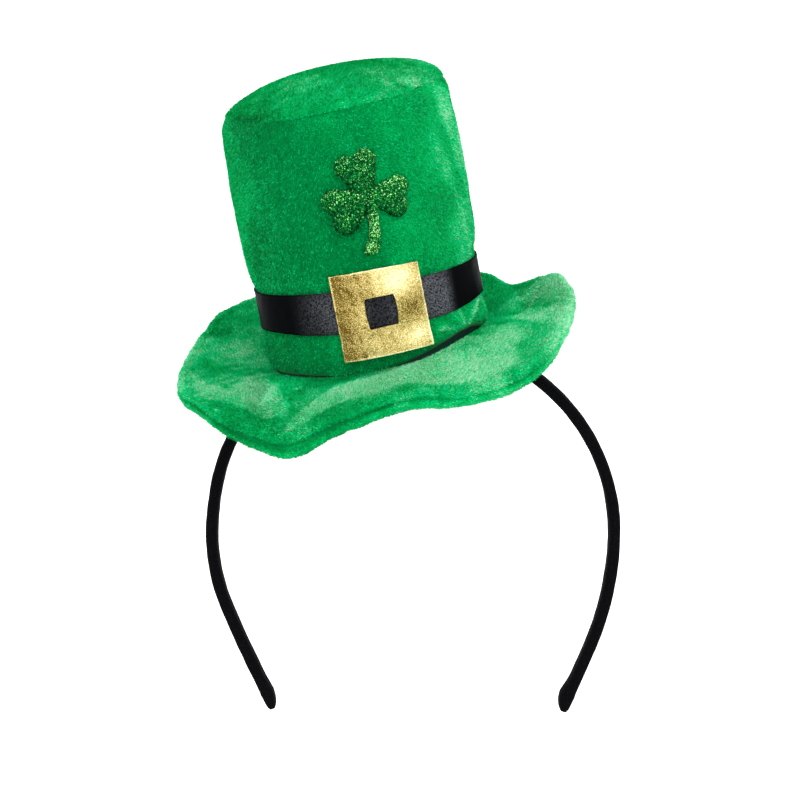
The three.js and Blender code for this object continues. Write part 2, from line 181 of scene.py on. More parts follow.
# Wrinkles in the crown above its lifted hem: from one place to others, by angle and height
STAR_MIDDLE = (323, 6.5)
STAR_RAYS = ((343, 13), (332, 10), (320, 12.5), (313, 14), (305, 9))
# Patches of painted sheen on the brim's upper side: share, softness, corners by angle and share
BRIM_SHEEN_PATCHES = (
    (0.5, 1.2, (
        (181, 0.85), (209, 0.62), (186, 0.05), (196, 0), (235, 0.5), (238, 0.68), (224, 0.72), (205, 0.95),
    )),
    (0.5, 0.8, ((239, 0.94), (241, 0.66), (244, 0.5), (250, 0.35), (262, 0.15), (270, 0.6), (256, 0.72))),
    (0.55, 1.5, (
        (258, 0.3), (268, 0.1), (282, 0), (318, 0), (322, 0.6),
        (315, 0.8), (300, 0.82), (285, 0.76), (262, 0.7),
    )),
    (0.18, 2, ((316, 0), (335, 0.05), (5, 0.2), (346, 0.9), (336, 0.92), (332, 0.62), (318, 0.6))),
)
# Soft spots, all with the columns strength, angle or place across, spread, level, reach.
# Painted light on the crown's side, painted sheen above 0 and painted shade below, with heights as levels
CROWN_SHEEN_AND_SHADE = (
    (0.62, 345, 24, 45, 50),
    (0.25, 190, 14, 45, 50),
    (0.12, 300, 26, 72, 24),
    (-0.65, 236, 26, 60, 30),
    (-0.2, 250, 24, 76, 10),
    (-0.45, 258, 24, 42, 36),
    (-0.8, 226, 28, 5, 8),
    (-0.6, 192, 22, 6, 10),
    (-1.4, 222, 20, 84.8, 2.2),
)
# Painted highlight along the rolled hem, with heights above its lifted edge
HEM_HIGHLIGHTS = ((1.4, 236, 34, 0.7, 0.7),)
# Painted sheen above 0 and painted shade along the seam below 0 on the dome, and painted highlights on the
# ridges in it, with radii as levels
DOME_SHEEN_AND_SHADE = ((0.15, 290, 40, 35, 8), (0.16, 335, 50, 28, 14), (-1.2, 220, 16, 35.3, 1.6))
RIDGE_HIGHLIGHTS = ((0.7, 316, 20, 33, 6),)
# Wrinkles of the dome, and painted sheen above 0 and painted shade below 0 on the brim, with shares of the
# way to the edge as levels
DOME_WRINKLES = ((0.9, 316, 18, 0.88, 0.14),)
BRIM_SHEEN_AND_SHADE = (
    (0.75, 286, 30, 0.45, 0.45),
    (1.2, 356, 30, 1.0, 0.3),
    (0.4, 175, 30, 1.0, 0.15),
    (0.26, 165, 40, 0.4, 0.7),
    (0.2, 16, 28, 0.6, 0.5),
    (-0.6, 36, 9, 0.35, 0.3),
)
# Painted glares on the foil, and a painted shade where the strength is below 0, by millimetres across and up
# from its middle
FOIL_GLARES = ((1.3, 6, 6, 10, 5), (1.1, 11, 4, -9, 4), (-0.6, 10, 4, 0, 4), (0.3, 0, 12, -10, 4))
# Leaves of the shamrock: direction, length, width
LEAVES = ((102, 14.2, 12.8), (-12, 12.6, 12.6), (200, 14.1, 14.8))
# Its stem: distance below the middle, offset across, width
STEM = ((0, 0.1, 3.2), (7, 0.2, 3), (12, -0.3, 3.2), (15.6, -1.3, 4.2), (18.6, -2.8, 5.2))
# Ends of the headband: distance from the tip, then shares inwards, outwards, of the flare and the depth
TIP_SECTION = (
    (0, 0.1, 0.55, 0, 0.72),
    (1.8, 0.6, 0.95, 0.5, 0.92),
    (5.5, 1, 1, 1, 1),
    (12, 1, 1, 0.15, 1),
    (16, 1, 1, 0, 1),
)

ARCH_CENTRE = -(ARCH_RADIUS - BAND_THICKNESS / 2)
ARCH_OUTER = ARCH_RADIUS + BAND_THICKNESS / 2
BEARING_RADIUS = BRIM_HOLE + HOLE_ROUND
HAT_SEAT = math.sqrt((ARCH_OUTER + GAP) ** 2 - (BEARING_RADIUS - HAT_SHIFT) ** 2) + BRIM_INNER_THICKNESS
LEAN_SIN = math.sin(math.radians(HAT_LEAN))
LEAN_COS = math.cos(math.radians(HAT_LEAN))
HAT_X = HAT_SHIFT * LEAN_COS - HAT_SEAT * LEAN_SIN
HAT_Z = ARCH_CENTRE + HAT_SEAT * LEAN_COS + HAT_SHIFT * LEAN_SIN


def to_row(points):
    """Places of the hat's own frame, in millimetres, as places of the row's frame in metres."""
    u, v, w = points[..., 0], points[..., 1], points[..., 2]
    x = HAT_X + u * LEAN_COS - w * LEAN_SIN
    z = HAT_Z + u * LEAN_SIN + w * LEAN_COS
    return np.stack([x, v, z], axis=-1) * MM


def to_hat(places):
    """The way back: places of the row's frame in metres as the hat's own, in millimetres."""
    x, y, z = places[..., 0] / MM - HAT_X, places[..., 1] / MM, places[..., 2] / MM - HAT_Z
    return np.stack([x * LEAN_COS + z * LEAN_SIN, y, z * LEAN_COS - x * LEAN_SIN], axis=-1)


def hat_turn(vectors):
    """Directions of the hat's own frame in the row's frame."""
    u, v, w = vectors[..., 0], vectors[..., 1], vectors[..., 2]
    return np.stack([u * LEAN_COS - w * LEAN_SIN, v, u * LEAN_SIN + w * LEAN_COS], axis=-1)


def round_crown(angle, radius, height):
    """Places in the hat's frame from angles in degrees, radii and heights."""
    turn = np.radians(angle)
    return np.stack([radius * np.cos(turn), radius * np.sin(turn), height + 0 * turn], axis=-1)


def curve_of(rows, column, at, period=0):
    """Smooth value of a table's column, by cubic pieces through its rows."""
    at = np.asarray(at, float)
    keys = np.array([row[0] for row in rows], float)
    values = np.array([row[column] for row in rows], float)
    if period:
        at = keys[0] + (at - keys[0]) % period
        keys = np.concatenate([keys[-2:] - period, keys, keys[:3] + period])
        values = np.concatenate([values[-2:], values, values[:3]])
    slopes = np.empty_like(values)
    slopes[1:-1] = (values[2:] - values[:-2]) / (keys[2:] - keys[:-2])
    slopes[0] = (values[1] - values[0]) / (keys[1] - keys[0])
    slopes[-1] = (values[-1] - values[-2]) / (keys[-1] - keys[-2])
    i = np.clip(np.searchsorted(keys, at, side="right") - 1, 0, len(keys) - 2)
    span = keys[i + 1] - keys[i]
    t = np.clip((at - keys[i]) / span, 0, 1)
    rise = (values[i + 1] - values[i]) * t * t * (3 - 2 * t)
    return values[i] + rise + span * t * (1 - t) * (slopes[i] * (1 - t) - slopes[i + 1] * t)


def away_from(angle, middle):
    """Signed degrees from a middle angle, within half a turn."""
    return (angle - middle + 180) % 360 - 180


def hump(angle, middle, spread):
    """1 at the middle angle, falling smoothly to 0 at the spread."""
    share = np.minimum(np.abs(away_from(angle, middle)) / spread, 1)
    return (1 + np.cos(np.pi * share)) / 2


def ramp(value, start, end):
    """0 before start, 1 after end and smooth between."""
    t = np.clip((value - start) / (end - start), 0, 1)
    return t * t * (3 - 2 * t)


def ripple(points, length, seed, waves=14):
    """Smooth random waves of about one length at places in millimetres, mostly within -1 and 1."""
    rng = np.random.default_rng(seed)
    total = np.zeros(points.shape[:-1])
    for _ in range(waves):
        way = rng.normal(size=3)
        way /= np.linalg.norm(way)
        pitch = length * rng.uniform(0.7, 1.5)
        total += np.sin(points @ (way * (TAU / pitch)) + rng.uniform(0, TAU))
    return total / math.sqrt(waves)


def humps(angle, rows):
    """Sum of humps, from rows of angle, spread and height."""
    return sum(height * hump(angle, middle, spread) for middle, spread, height in rows)


def spots_of(rows, angle, level):
    """Sum of soft spots, from rows of strength, angle, spread, level and reach."""
    total = 0
    for strength, middle, spread, at, reach in rows:
        across = np.exp(-((away_from(angle, middle) / spread) ** 2))
        total = total + strength * (across * np.exp(-(((level - at) / reach) ** 2)))
    return total


def polar(hat):
    """Angle in degrees and radius of places in the hat's frame."""
    return np.degrees(np.arctan2(hat[..., 1], hat[..., 0])) % 360, np.hypot(hat[..., 0], hat[..., 1])


def crown_radius(height):
    return curve_of(CROWN_PROFILE, 1, height)


def brim_foot(angle):
    return humps(angle, FOOT_RISES)


def hem_lift(angle):
    return brim_foot(angle) + humps(angle, HEM_LIFTS)


def seam_tuck(angle):
    """How far the seam round the crown's top is drawn in: near 0 where the plush closes over it."""
    return SEAM_DRAW + humps(angle, SEAM_TUCKS)


def seam_rise(angle):
    """Share of the puckered stretch at the left, where the seam stands higher and further in."""
    return hump(angle, 192, 46)


def gap_to(x, y, start, end):
    """How far flat places lie from a straight line between two others."""
    across, up = end[0] - start[0], end[1] - start[1]
    along = np.clip(((x - start[0]) * across + (y - start[1]) * up) / (across**2 + up**2), 0, 1)
    return np.hypot(x - start[0] - along * across, y - start[1] - along * up)


def star_wrinkles(angle, height, width):
    """1 along the wrinkles above the lifted hem, falling to 0 beside them."""
    arc = math.radians(RIBBON_BED)
    start = (0, STAR_MIDDLE[1])
    total = 0
    for ray_angle, ray_height in STAR_RAYS:
        end = (arc * away_from(ray_angle, STAR_MIDDLE[0]), ray_height)
        away = gap_to(arc * away_from(angle, STAR_MIDDLE[0]), height, start, end)
        total = np.maximum(total, np.exp(-((away / width) ** 2)))
    return total


def on_patch(angle, share, corners, softness):
    """1 on a patch of the flat brim, 0 off it, and smooth along its border."""

    def flat(turn, out):
        radius = BRIM_FOOT + out * (BRIM_REACH - BRIM_FOOT)
        return radius * np.cos(np.radians(turn)), radius * np.sin(np.radians(turn))

    x, y = flat(angle, share)
    away = np.full(np.shape(angle), np.inf)
    within = np.zeros(np.shape(angle), dtype=bool)
    points = [flat(*corner) for corner in corners]
    for start, end in zip(points, points[1:] + points[:1]):
        away = np.minimum(away, gap_to(x, y, start, end))
        passes = (start[1] > y) != (end[1] > y)
        within ^= passes & (x < start[0] + (end[0] - start[0]) * (y - start[1]) / (end[1] - start[1]))
    return ramp(np.where(within, away, -away), -softness, softness)


def brim_height(angle, share):
    """How the brim is bent, by angle and share of the way from the crown to its edge."""
    edge = curve_of(BRIM_EDGE, 1, angle, 360) + BRIM_INNER_THICKNESS / 2
    folds = 0
    for at_crown, at_edge, spread, depth in BRIM_FOLDS:
        line = at_crown + away_from(at_edge, at_crown) * share
        folds = folds - depth * hump(angle, line, spread) * np.sin(np.pi * share**FOLD_BIAS)
    return edge * share**BRIM_CURL + folds


def brim_creases(angle, share):
    """Narrow valleys and ridges on the brim's upper side."""
    total = 0
    for at_crown, at_edge, spread, depth, start, end in BRIM_CREASES:
        line = at_crown + away_from(at_edge, at_crown) * share
        away = np.abs(away_from(angle, line)) / spread
        along = ramp(share, start, start + 0.2) * (1 - ramp(share, end - 0.25, end))
        total = total - depth * np.exp(-(away**1.3)) * along
    return total


# Making meshes


def only(piece):
    """Selects one object alone and makes it active."""
    bpy.ops.object.select_all(action="DESELECT")
    piece.select_set(True)
    bpy.context.view_layer.objects.active = piece


def fresh(name):
    """The primitive just added, named."""
    piece = bpy.context.active_object
    piece.name = name
    piece.data.name = name
    return piece


def places_of(mesh):
    places = np.empty(len(mesh.vertices) * 3)
    mesh.vertices.foreach_get("co", places)
    return places.reshape(-1, 3)


def move_to(piece, places):
    piece.data.vertices.foreach_set("co", np.ascontiguousarray(places, dtype=float).ravel())
    piece.data.update()


def hat_places(piece):
    """Corners of a piece in the hat's own frame."""
    return to_hat(places_of(piece.data))


def wrap_round(piece, angle, radius, height):
    """Moves a piece's corners to places round the crown."""
    move_to(piece, to_row(round_crown(angle, radius, height)))


def ring_piece(name, section):
    """A ring with a closed section: returns the piece and each corner's column angle and section index."""
    bpy.ops.mesh.primitive_torus_add(
        major_segments=RING_COLUMNS, minor_segments=section, major_radius=1, minor_radius=0.3
    )
    piece = fresh(name)
    index = np.arange(RING_COLUMNS * section)
    if len(index) != len(piece.data.vertices):
        raise RuntimeError(f"{name} needs a ring of {len(index)} corners")
    return piece, (index // section) * (360 / RING_COLUMNS), index % section


def shell_piece(name, segments, rings):
    """A ball to be shaped: returns the piece and its corners on the unit ball."""
    bpy.ops.mesh.primitive_uv_sphere_add(segments=segments, ring_count=rings, radius=1)
    piece = fresh(name)
    return piece, places_of(piece.data)


def order_faces(piece):
    """Puts a fresh primitive's faces in one fixed order, because Blender's order can change between runs."""
    places = places_of(piece.data)
    faces = []
    for face in piece.data.polygons:
        corners = list(face.vertices)
        first = corners.index(min(corners))
        faces.append(corners[first:] + corners[:first])
    piece.data.clear_geometry()
    piece.data.from_pydata(places.tolist(), [], sorted(faces))


def apply_modifier(piece, kind, **settings):
    only(piece)
    modifier = piece.modifiers.new(kind.title(), kind)
    for key, value in settings.items():
        setattr(modifier, key, value)
    bpy.ops.object.modifier_apply(modifier=modifier.name)


def dress(piece, *materials):
    """Gives a piece its materials and smooth shading."""
    for material in materials:
        piece.data.materials.append(material)
    only(piece)
    bpy.ops.object.shade_smooth()


def mark_faces(piece, chosen, number):
    """Gives one of the piece's materials to the faces whose corners are all chosen."""
    for face in piece.data.polygons:
        if all(chosen[corner] for corner in face.vertices):
            face.material_index = number


def delete_corners(piece, chosen):
    only(piece)
    bpy.ops.object.mode_set(mode="EDIT")
    bpy.ops.mesh.select_all(action="DESELECT")
    bpy.ops.mesh.select_mode(type="VERT")
    mesh = bmesh.from_edit_mesh(piece.data)
    for corner in mesh.verts:
        corner.select = bool(chosen[corner.index])
    bmesh.update_edit_mesh(piece.data)
    bpy.ops.mesh.delete(type="VERT")
    bpy.ops.object.mode_set(mode="OBJECT")


def outward(piece):
    """Turns every face of a closed piece to point outwards."""
    only(piece)
    bpy.ops.object.mode_set(mode="EDIT")
    bpy.ops.mesh.select_all(action="SELECT")
    bpy.ops.mesh.normals_make_consistent(inside=False)
    bpy.ops.object.mode_set(mode="OBJECT")


def set_values(piece, name, values):
    """Stores one number at each corner for the piece's material."""
    layer = piece.data.attributes.new(name, "FLOAT", "POINT")
    layer.data.foreach_set("value", np.ascontiguousarray(values, dtype=np.float32))


def finish(node, slot, *pieces):
    """Puts pieces on the body in place of one solid, which it hides; the material slot is not used."""
    for piece in pieces:
        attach(piece, "root")
        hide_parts(node)


def triangles_of(piece):
    """Corner places, corner normals and corner indices of a piece's triangles."""
    mesh = piece.data
    mesh.calc_loop_triangles()
    corners = np.empty(len(mesh.loop_triangles) * 3, dtype=np.int32)
    mesh.loop_triangles.foreach_get("vertices", corners)
    normals = np.empty(len(mesh.vertices) * 3)
    mesh.vertices.foreach_get("normal", normals)
    return places_of(mesh), normals.reshape(-1, 3), corners.reshape(-1, 3)


def values_of(piece, name):
    values = np.empty(len(piece.data.vertices), dtype=np.float32)
    piece.data.attributes[name].data.foreach_get("value", values)
    return values


def scattered(piece, count, side, seed, name):
    """Random places on one marked side of a piece, with their normals and one stored value."""
    places, normals, corners = triangles_of(piece)
    corners = corners[np.all(values_of(piece, "side")[corners] == side, axis=1)]
    a, b, c = (places[corners[:, k]] for k in range(3))
    areas = np.linalg.norm(np.cross(b - a, c - a), axis=1)
    rng = np.random.default_rng(seed)
    pick = rng.choice(len(corners), size=count, p=areas / areas.sum())
    s, t = rng.random(count), rng.random(count)
    s, t = np.where(s + t > 1, 1 - s, s), np.where(s + t > 1, 1 - t, t)
    weights = np.stack([1 - s - t, s, t], axis=1)[:, :, None]
    chosen = corners[pick]
    normal = (normals[chosen] * weights).sum(axis=1)
    normal /= np.linalg.norm(normal, axis=1, keepdims=True)
    value = (values_of(piece, name)[chosen] * weights[:, :, 0]).sum(axis=1)
    return (places[chosen] * weights).sum(axis=1), normal, value, rng


def loose_faces(name, polygons, tones, materials):
    """One mesh of many small separate faces, given as (faces, corners, 3) places."""
    count, sides = polygons.shape[:2]
    mesh = bpy.data.meshes.new(name)
    mesh.vertices.add(count * sides)
    mesh.vertices.foreach_set("co", polygons.reshape(-1))
    mesh.loops.add(count * sides)
    mesh.loops.foreach_set("vertex_index", np.arange(count * sides, dtype=np.int32))
    mesh.polygons.add(count)
    mesh.polygons.foreach_set("loop_start", np.arange(count, dtype=np.int32) * sides)
    for material in materials:
        mesh.materials.append(material)
    mesh.polygons.foreach_set("material_index", tones.astype(np.int32))
    mesh.update(calc_edges=True)
    piece = bpy.data.objects.new(name, mesh)
    bpy.context.collection.objects.link(piece)
    return piece


def unit(vectors):
    return vectors / np.maximum(np.linalg.norm(vectors, axis=-1, keepdims=True), 1e-9)


def pile(name, base, side, count, nap_way, seed):
    """Short fibres standing on one side of a plush piece, leaning the way its nap is brushed."""
    sizes = bpy.context.scene.top_hat
    roots, normals, brushed, rng = scattered(base, count, side, seed, "nap")
    hat = to_hat(roots)
    way = hat_turn(nap_way(hat))
    way = way - normals * (way * normals).sum(axis=1, keepdims=True)
    loose = unit(np.cross(normals, rng.normal(size=(count, 3))))
    way = unit(unit(way) + sizes.pile_scatter * loose)
    lean = rng.normal(sizes.pile_lean_degrees, LEAN_SPREAD, count).clip(*LEAN_LIMITS)
    lean = np.radians(lean)[:, None]
    stand = normals * np.cos(lean) + way * np.sin(lean)
    length = sizes.pile_length * rng.uniform(*FIBRE_SHARES, count)[:, None]
    half_root = unit(np.cross(stand, rng.normal(size=(count, 3)))) * sizes.pile_width / 2
    polygons = np.stack([roots - half_root, roots + half_root, roots + stand * length], axis=1)
    # The stored nap value is painted light: painted sheen above 0 brings more light, silver and pale fibres,
    # painted shade below 0 more deep ones.
    pale, shaded = np.clip(brushed, 0, 1), np.clip(-brushed, 0, 1)
    draw = rng.random(count)
    lit = ramp(pale, 0.05, 0.3)
    tones = np.where(draw < 0.2 + 0.6 * shaded - 0.18 * lit, 0, 1)
    tones = np.where(draw > 0.82 - 0.25 * lit - 0.7 * pale + 0.1 * shaded, 2, tones)
    tones = np.where(draw > 1.14 - 0.88 * pale, 3, tones)
    tones = np.where(draw > 1.3 - 0.8 * pale, 4, tones)
    return loose_faces(name, polygons, tones, fibre_materials())


# Finishes


def feed(tree, socket, value):
    """Links an input to another node's output, or sets it to a constant."""
    if isinstance(value, bpy.types.NodeSocket):
        tree.links.new(value, socket)
    else:
        socket.default_value = value


def add_node(tree, kind, inputs, **settings):
    node = tree.nodes.new("ShaderNode" + kind)
    for key, value in settings.items():
        setattr(node, key, value)
    for key, value in inputs.items():
        feed(tree, node.inputs[key], value)
    return node


def node_material(name):
    material = bpy.data.materials.new(name)
    material.use_nodes = True
    tree = material.node_tree
    return material, tree, tree.nodes["Principled BSDF"]


def shader_values(tree, shader, **values):
    """Links or sets a shader's inputs by name, with underscores for spaces."""
    for key, value in values.items():
        feed(tree, shader.inputs[key.replace("_", " ")], value)


def own_places(tree):
    return tree.nodes.new("ShaderNodeTexCoord").outputs["Object"]


def noise(tree, scale, detail=2.0, roughness=0.5, stretch=None):
    """Noise on the piece's own coordinates, with its grains longer along one axis if asked."""
    places = own_places(tree)
    if stretch:
        places = add_node(tree, "Mapping", {"Vector": places, "Scale": stretch}).outputs["Vector"]
    inputs = {"Vector": places, "Scale": scale, "Detail": detail, "Roughness": roughness}
    return add_node(tree, "TexNoise", inputs).outputs["Fac"]


def crackle(tree, scale):
    """Distance from the nearest of many fine cracks, on the piece's own coordinates."""
    inputs = {"Vector": own_places(tree), "Scale": scale}
    return add_node(tree, "TexVoronoi", inputs, feature="DISTANCE_TO_EDGE").outputs["Distance"]


def attribute(tree, name):
    return add_node(tree, "Attribute", {}, attribute_name=name).outputs["Fac"]


def ranged(tree, value, low, high, to_low=0.0, to_high=1.0):
    """A value eased from one range into another."""
    inputs = {"Value": value, "From Min": low, "From Max": high, "To Min": to_low, "To Max": to_high}
    return add_node(tree, "MapRange", inputs, interpolation_type="SMOOTHSTEP").outputs["Result"]


def product(tree, a, b):
    return add_node(tree, "Math", {0: a, 1: b}, operation="MULTIPLY").outputs["Value"]


def added(tree, a, b, share=1.0):
    """The first value with a share of the second."""
    return add_node(tree, "Math", {0: b, 1: share, 2: a}, operation="MULTIPLY_ADD").outputs["Value"]


def blended(tree, factor, first, second):
    """Mix of two colours, each a colour or a socket."""
    inputs = {0: factor}
    for key, colour in ((6, first), (7, second)):
        is_socket = isinstance(colour, bpy.types.NodeSocket)
        inputs[key] = colour if is_socket else (*colour[:3], 1)
    return add_node(tree, "Mix", inputs, data_type="RGBA").outputs[2]


def bumps(tree, height, distance, strength):
    inputs = {"Height": height, "Distance": distance, "Strength": strength}
    return add_node(tree, "Bump", inputs).outputs["Normal"]


def made_once(make):
    """Keeps the materials that a function makes, so that pieces share them."""
    kept = []

    def get():
        if not kept:
            kept.append(make())
        return kept[0]

    return get


@made_once
def plush_ground():
    """Ground of the plush: painted sheen and painted shade from the stored nap value, fine grain and a soft
    sheen.
    """
    sizes = bpy.context.scene.top_hat
    material, tree, shader = node_material("plush")
    # The stored nap value carries painted sheen above 0 and painted shade below 0.
    brushed = attribute(tree, "nap")
    grain = noise(tree, 2400, 2, 0.7)
    # Painted shade darkens the ground towards the deep tone; painted sheen lightens it towards the light and
    # pale tones.
    grain_and_shading = ranged(tree, added(tree, grain, brushed, 0.3), 0.3, 0.75)
    ground = blended(tree, grain_and_shading, sizes.plush_deep, sizes.plush_colour)
    light = product(tree, ranged(tree, brushed, 0.0, 0.8), ranged(tree, grain, 0.4, 0.65))
    pale = product(tree, ranged(tree, brushed, 0.3, 1.4), ranged(tree, grain, 0.5, 0.7))
    colour = blended(tree, light, ground, sizes.plush_light)
    shader_values(
        tree,
        shader,
        Base_Color=blended(tree, pale, colour, sizes.plush_sheen_colour),
        Normal=bumps(tree, grain, 0.0004, 0.7),
        Roughness=0.95,
        Specular_IOR_Level=0.0,
        Sheen_Weight=sizes.plush_sheen,
        Sheen_Roughness=0.4,
        Sheen_Tint=(*sizes.plush_sheen_colour, 1),
    )
    return material


@made_once
def knit_backing():
    """Inner side of the plush: its knitted ground cloth."""
    sizes = bpy.context.scene.top_hat
    material, tree, shader = node_material("knit backing")
    weave = ranged(tree, noise(tree, 900, 1, 0.5, (1, 1, 0.35)), 0.35, 0.65)
    colour = blended(tree, weave, sizes.plush_deep, sizes.plush_colour)
    normal = bumps(tree, weave, 0.0003, 0.5)
    shader_values(tree, shader, Base_Color=colour, Normal=normal, Roughness=0.9, Specular_IOR_Level=0.2)
    return material


def plain_materials(tones, **values):
    """Materials of one colour each, from names and colours."""
    made = []
    for name, tone in tones.items():
        material, tree, shader = node_material(name)
        shader_values(tree, shader, Base_Color=(*tone, 1), **values)
        made.append(material)
    return made


@made_once
def hem_shade():
    """Painted shade: a dark sheet on the hem's underside, where the gap under the lifted hem is in shade."""
    tones = {"hem shade": (0.025, 0.065, 0.054)}
    return plain_materials(tones, Roughness=0.95, Specular_IOR_Level=0.0)[0]


@made_once
def fibre_materials():
    """Fibres of the pile, from deep to pale, chosen more deep where shade is painted and more light, silver
    and pale where sheen is painted.
    """
    sizes = bpy.context.scene.top_hat
    tones = {
        "pile deep": sizes.plush_deep,
        "pile middle": sizes.plush_colour,
        "pile light": sizes.plush_light,
        "pile silver": [0.45 * a + 0.55 * b for a, b in zip(sizes.plush_light, sizes.plush_sheen_colour)],
        "pile pale": sizes.plush_sheen_colour,
    }
    return plain_materials(tones, Roughness=0.8, Specular_IOR_Level=0.03)


@made_once
def flake_materials():
    """Glitter flakes, from deep green to pale gold green."""
    tones = {
        "flake deep": (0.0, 0.035, 0.01),
        "flake green": (0.001, 0.12, 0.025),
        "flake bright": (0.02, 0.34, 0.05),
        "flake lime": (0.12, 0.66, 0.12),
        "flake gleam": (0.42, 0.9, 0.3),
    }
    return plain_materials(tones, Metallic=1.0, Roughness=0.35)


@made_once
def satin():
    """Black satin ribbon: a fine grain and a soft broad highlight painted into its colour."""
    sizes = bpy.context.scene.top_hat
    material, tree, shader = node_material("satin")
    grain = noise(tree, 1900, 2, 0.6)
    # Painted highlight: the colour is lifted towards grey where the ribbon's stored highlight is high.
    lift = tuple(24 * value + 0.05 for value in sizes.ribbon_colour)
    painted_shine = product(tree, attribute(tree, "painted_gloss"), ranged(tree, grain, 0.3, 0.7))
    shader_values(
        tree,
        shader,
        Base_Color=blended(tree, painted_shine, sizes.ribbon_colour, lift),
        Normal=bumps(tree, grain, 0.0001, 0.4),
        Roughness=ranged(tree, grain, 0.3, 0.7, 0.34, 0.5),
        Specular_IOR_Level=0.003,
    )
    return material


@made_once
def gold_foil():
    """Foil on a soft backing: crinkled, darkened towards brown by painted shade and brightened by painted
    glare, as its stored painted light and the crinkle say.
    """
    sizes = bpy.context.scene.top_hat
    material, tree, shader = node_material("gold foil")
    creases = ranged(tree, crackle(tree, 1900), 0.0, 0.3)
    crinkle = added(tree, noise(tree, 1700, 4, 0.8), creases, 0.36)
    broad = noise(tree, 180, 2, 0.5)
    # Painted shade gives the dark brown tone where the stored painted light and the crinkle are low; painted
    # glare gives the bright tone where they are high.
    shaded_foil = [share * value for share, value in zip((0.2, 0.15, 0.06), sizes.foil_colour)]
    bright = [1.15 * value + 0.37 for value in sizes.foil_colour]
    spots = added(tree, attribute(tree, "painted_shine"), added(tree, crinkle, broad, 0.3), 3.2)
    colour = blended(tree, ranged(tree, spots, 2.3, 3.7), shaded_foil, sizes.foil_colour)
    shader_values(
        tree,
        shader,
        Base_Color=blended(tree, ranged(tree, spots, 3.6, 4.9), colour, bright),
        Normal=bumps(tree, crinkle, 0.0003, 0.7),
        Roughness=ranged(tree, crinkle, 0.4, 1.0, 0.5, 0.34),
        Metallic=1.0,
    )
    return material


@made_once
def foam_ground():
    """Green foam between the clover's flakes."""
    sizes = bpy.context.scene.top_hat
    material, tree, shader = node_material("glitter ground")
    speck = ranged(tree, noise(tree, 1700, 1, 0.5), 0.4, 0.65)
    dark = tuple(0.3 * value for value in sizes.glitter_colour)
    colour = blended(tree, speck, dark, sizes.glitter_colour)
    normal = bumps(tree, speck, 0.0002, 0.5)
    shader_values(tree, shader, Base_Color=colour, Normal=normal, Roughness=0.7, Specular_IOR_Level=0.05)
    return material


@made_once
def band_cloth():
    """Black cloth that covers the headband."""
    sizes = bpy.context.scene.top_hat
    material, tree, shader = node_material("band cloth")
    weave = noise(tree, 1500, 2, 0.6)
    lift = tuple(2 * value + 0.0006 for value in sizes.cover_colour)
    shader_values(
        tree,
        shader,
        Base_Color=blended(tree, ranged(tree, weave, 0.4, 0.7), sizes.cover_colour, lift),
        Normal=bumps(tree, weave, 0.0002, 0.5),
        Roughness=ranged(tree, weave, 0.3, 0.7, 0.6, 0.8),
        Specular_IOR_Level=0.015,
    )
    return material


# Pieces


def crown_nap_and_light(hat):
    """Painted light on the crown over the nap's random tone: painted shade towards -1, painted sheen and
    painted highlights on its wrinkles and rolled hem towards 1.
    """
    angle, _ = polar(hat)
    height = hat[..., 2]
    brushed = 0.28 * ripple(hat, 30, 11) - 0.2 + 0.16 * ripple(hat * np.array([1, 1, 0.45]), 8, 12)
    # Painted highlights along the wrinkles above the lifted hem.
    wrinkle_highlights = 0.8 * star_wrinkles(angle, height, 0.8)
    # Painted highlight along the rolled hem.
    hem_highlight = spots_of(HEM_HIGHLIGHTS, angle, height - hem_lift(angle))
    return np.clip(brushed + spots_of(CROWN_SHEEN_AND_SHADE, angle, height) + wrinkle_highlights + hem_highlight, -1, 1)


def dome_nap_and_light(hat):
    # Painted light on the dome over the nap's random tone: painted sheen, painted shade along the seam and
    # painted highlights on its ridges.
    angle, radius = polar(hat)
    brushed = 0.12 * ripple(hat, 24, 21) + 0.1 * ripple(hat, 7, 22)
    ridges = spots_of(RIDGE_HIGHLIGHTS, angle, radius) * ramp(ripple(hat, 6.5, 13), 0.3, 1.2)
    return np.clip(0.07 + brushed + spots_of(DOME_SHEEN_AND_SHADE, angle, radius) + ridges, -1, 1)


def brim_nap_and_light(hat):
    """Painted light on the brim over the nap's random tone: painted sheen where it is pale, painted shade
    where it is deep.
    """
    angle, radius = polar(hat)
    share = np.clip((radius - BRIM_FOOT) / (BRIM_REACH - BRIM_FOOT), 0, 1)
    brushed = 0.14 * ripple(hat, 26, 31) + 0.12 * ripple(hat, 7, 32)
    brushed = brushed + 0.2 * ripple(hat, 13, 35) * hump(angle, 332, 44)
    # Patches of painted sheen.
    lifted = sum(lift * on_patch(angle, share, corners, soft) for lift, soft, corners in BRIM_SHEEN_PATCHES)
    spots = spots_of(BRIM_SHEEN_AND_SHADE, angle, share)
    return np.clip(0.08 + brushed + np.minimum(lifted, 0.55) + spots, -1, 1)


def swirl(hat, way, seed, turn=0.9):
    """A brushing direction with slow random turns."""
    sway = turn * ripple(hat, 34, seed)[..., None]
    other = turn * ripple(hat, 34, seed + 1)[..., None]
    return way + sway * np.array([1.0, 0.4, 0.0]) + other * np.array([0.0, 0.5, 0.6])


def crown_section(outside, inside):
    """Heights and wall depths round the closed section of the crown's side, and which is inner."""
    up = np.linspace(0, 1, outside) ** 0.9 * SEAM_HEIGHT
    down = np.linspace(0.965, 0.012, inside) * SEAM_HEIGHT
    heights = np.concatenate([up, [SEAM_HEIGHT - 0.1, SEAM_HEIGHT - 0.5], down, [0, 0, 0]])
    depths = np.concatenate([0 * up, [0.3, 0.7], 0 * down + 1, [0.08, 0.04, 0.26]]) * CROWN_WALL
    sunk = np.concatenate([0 * up, [0, 0], 0 * down, [1, 1, 0]]) * HEM_DEPTH
    return heights, depths, sunk


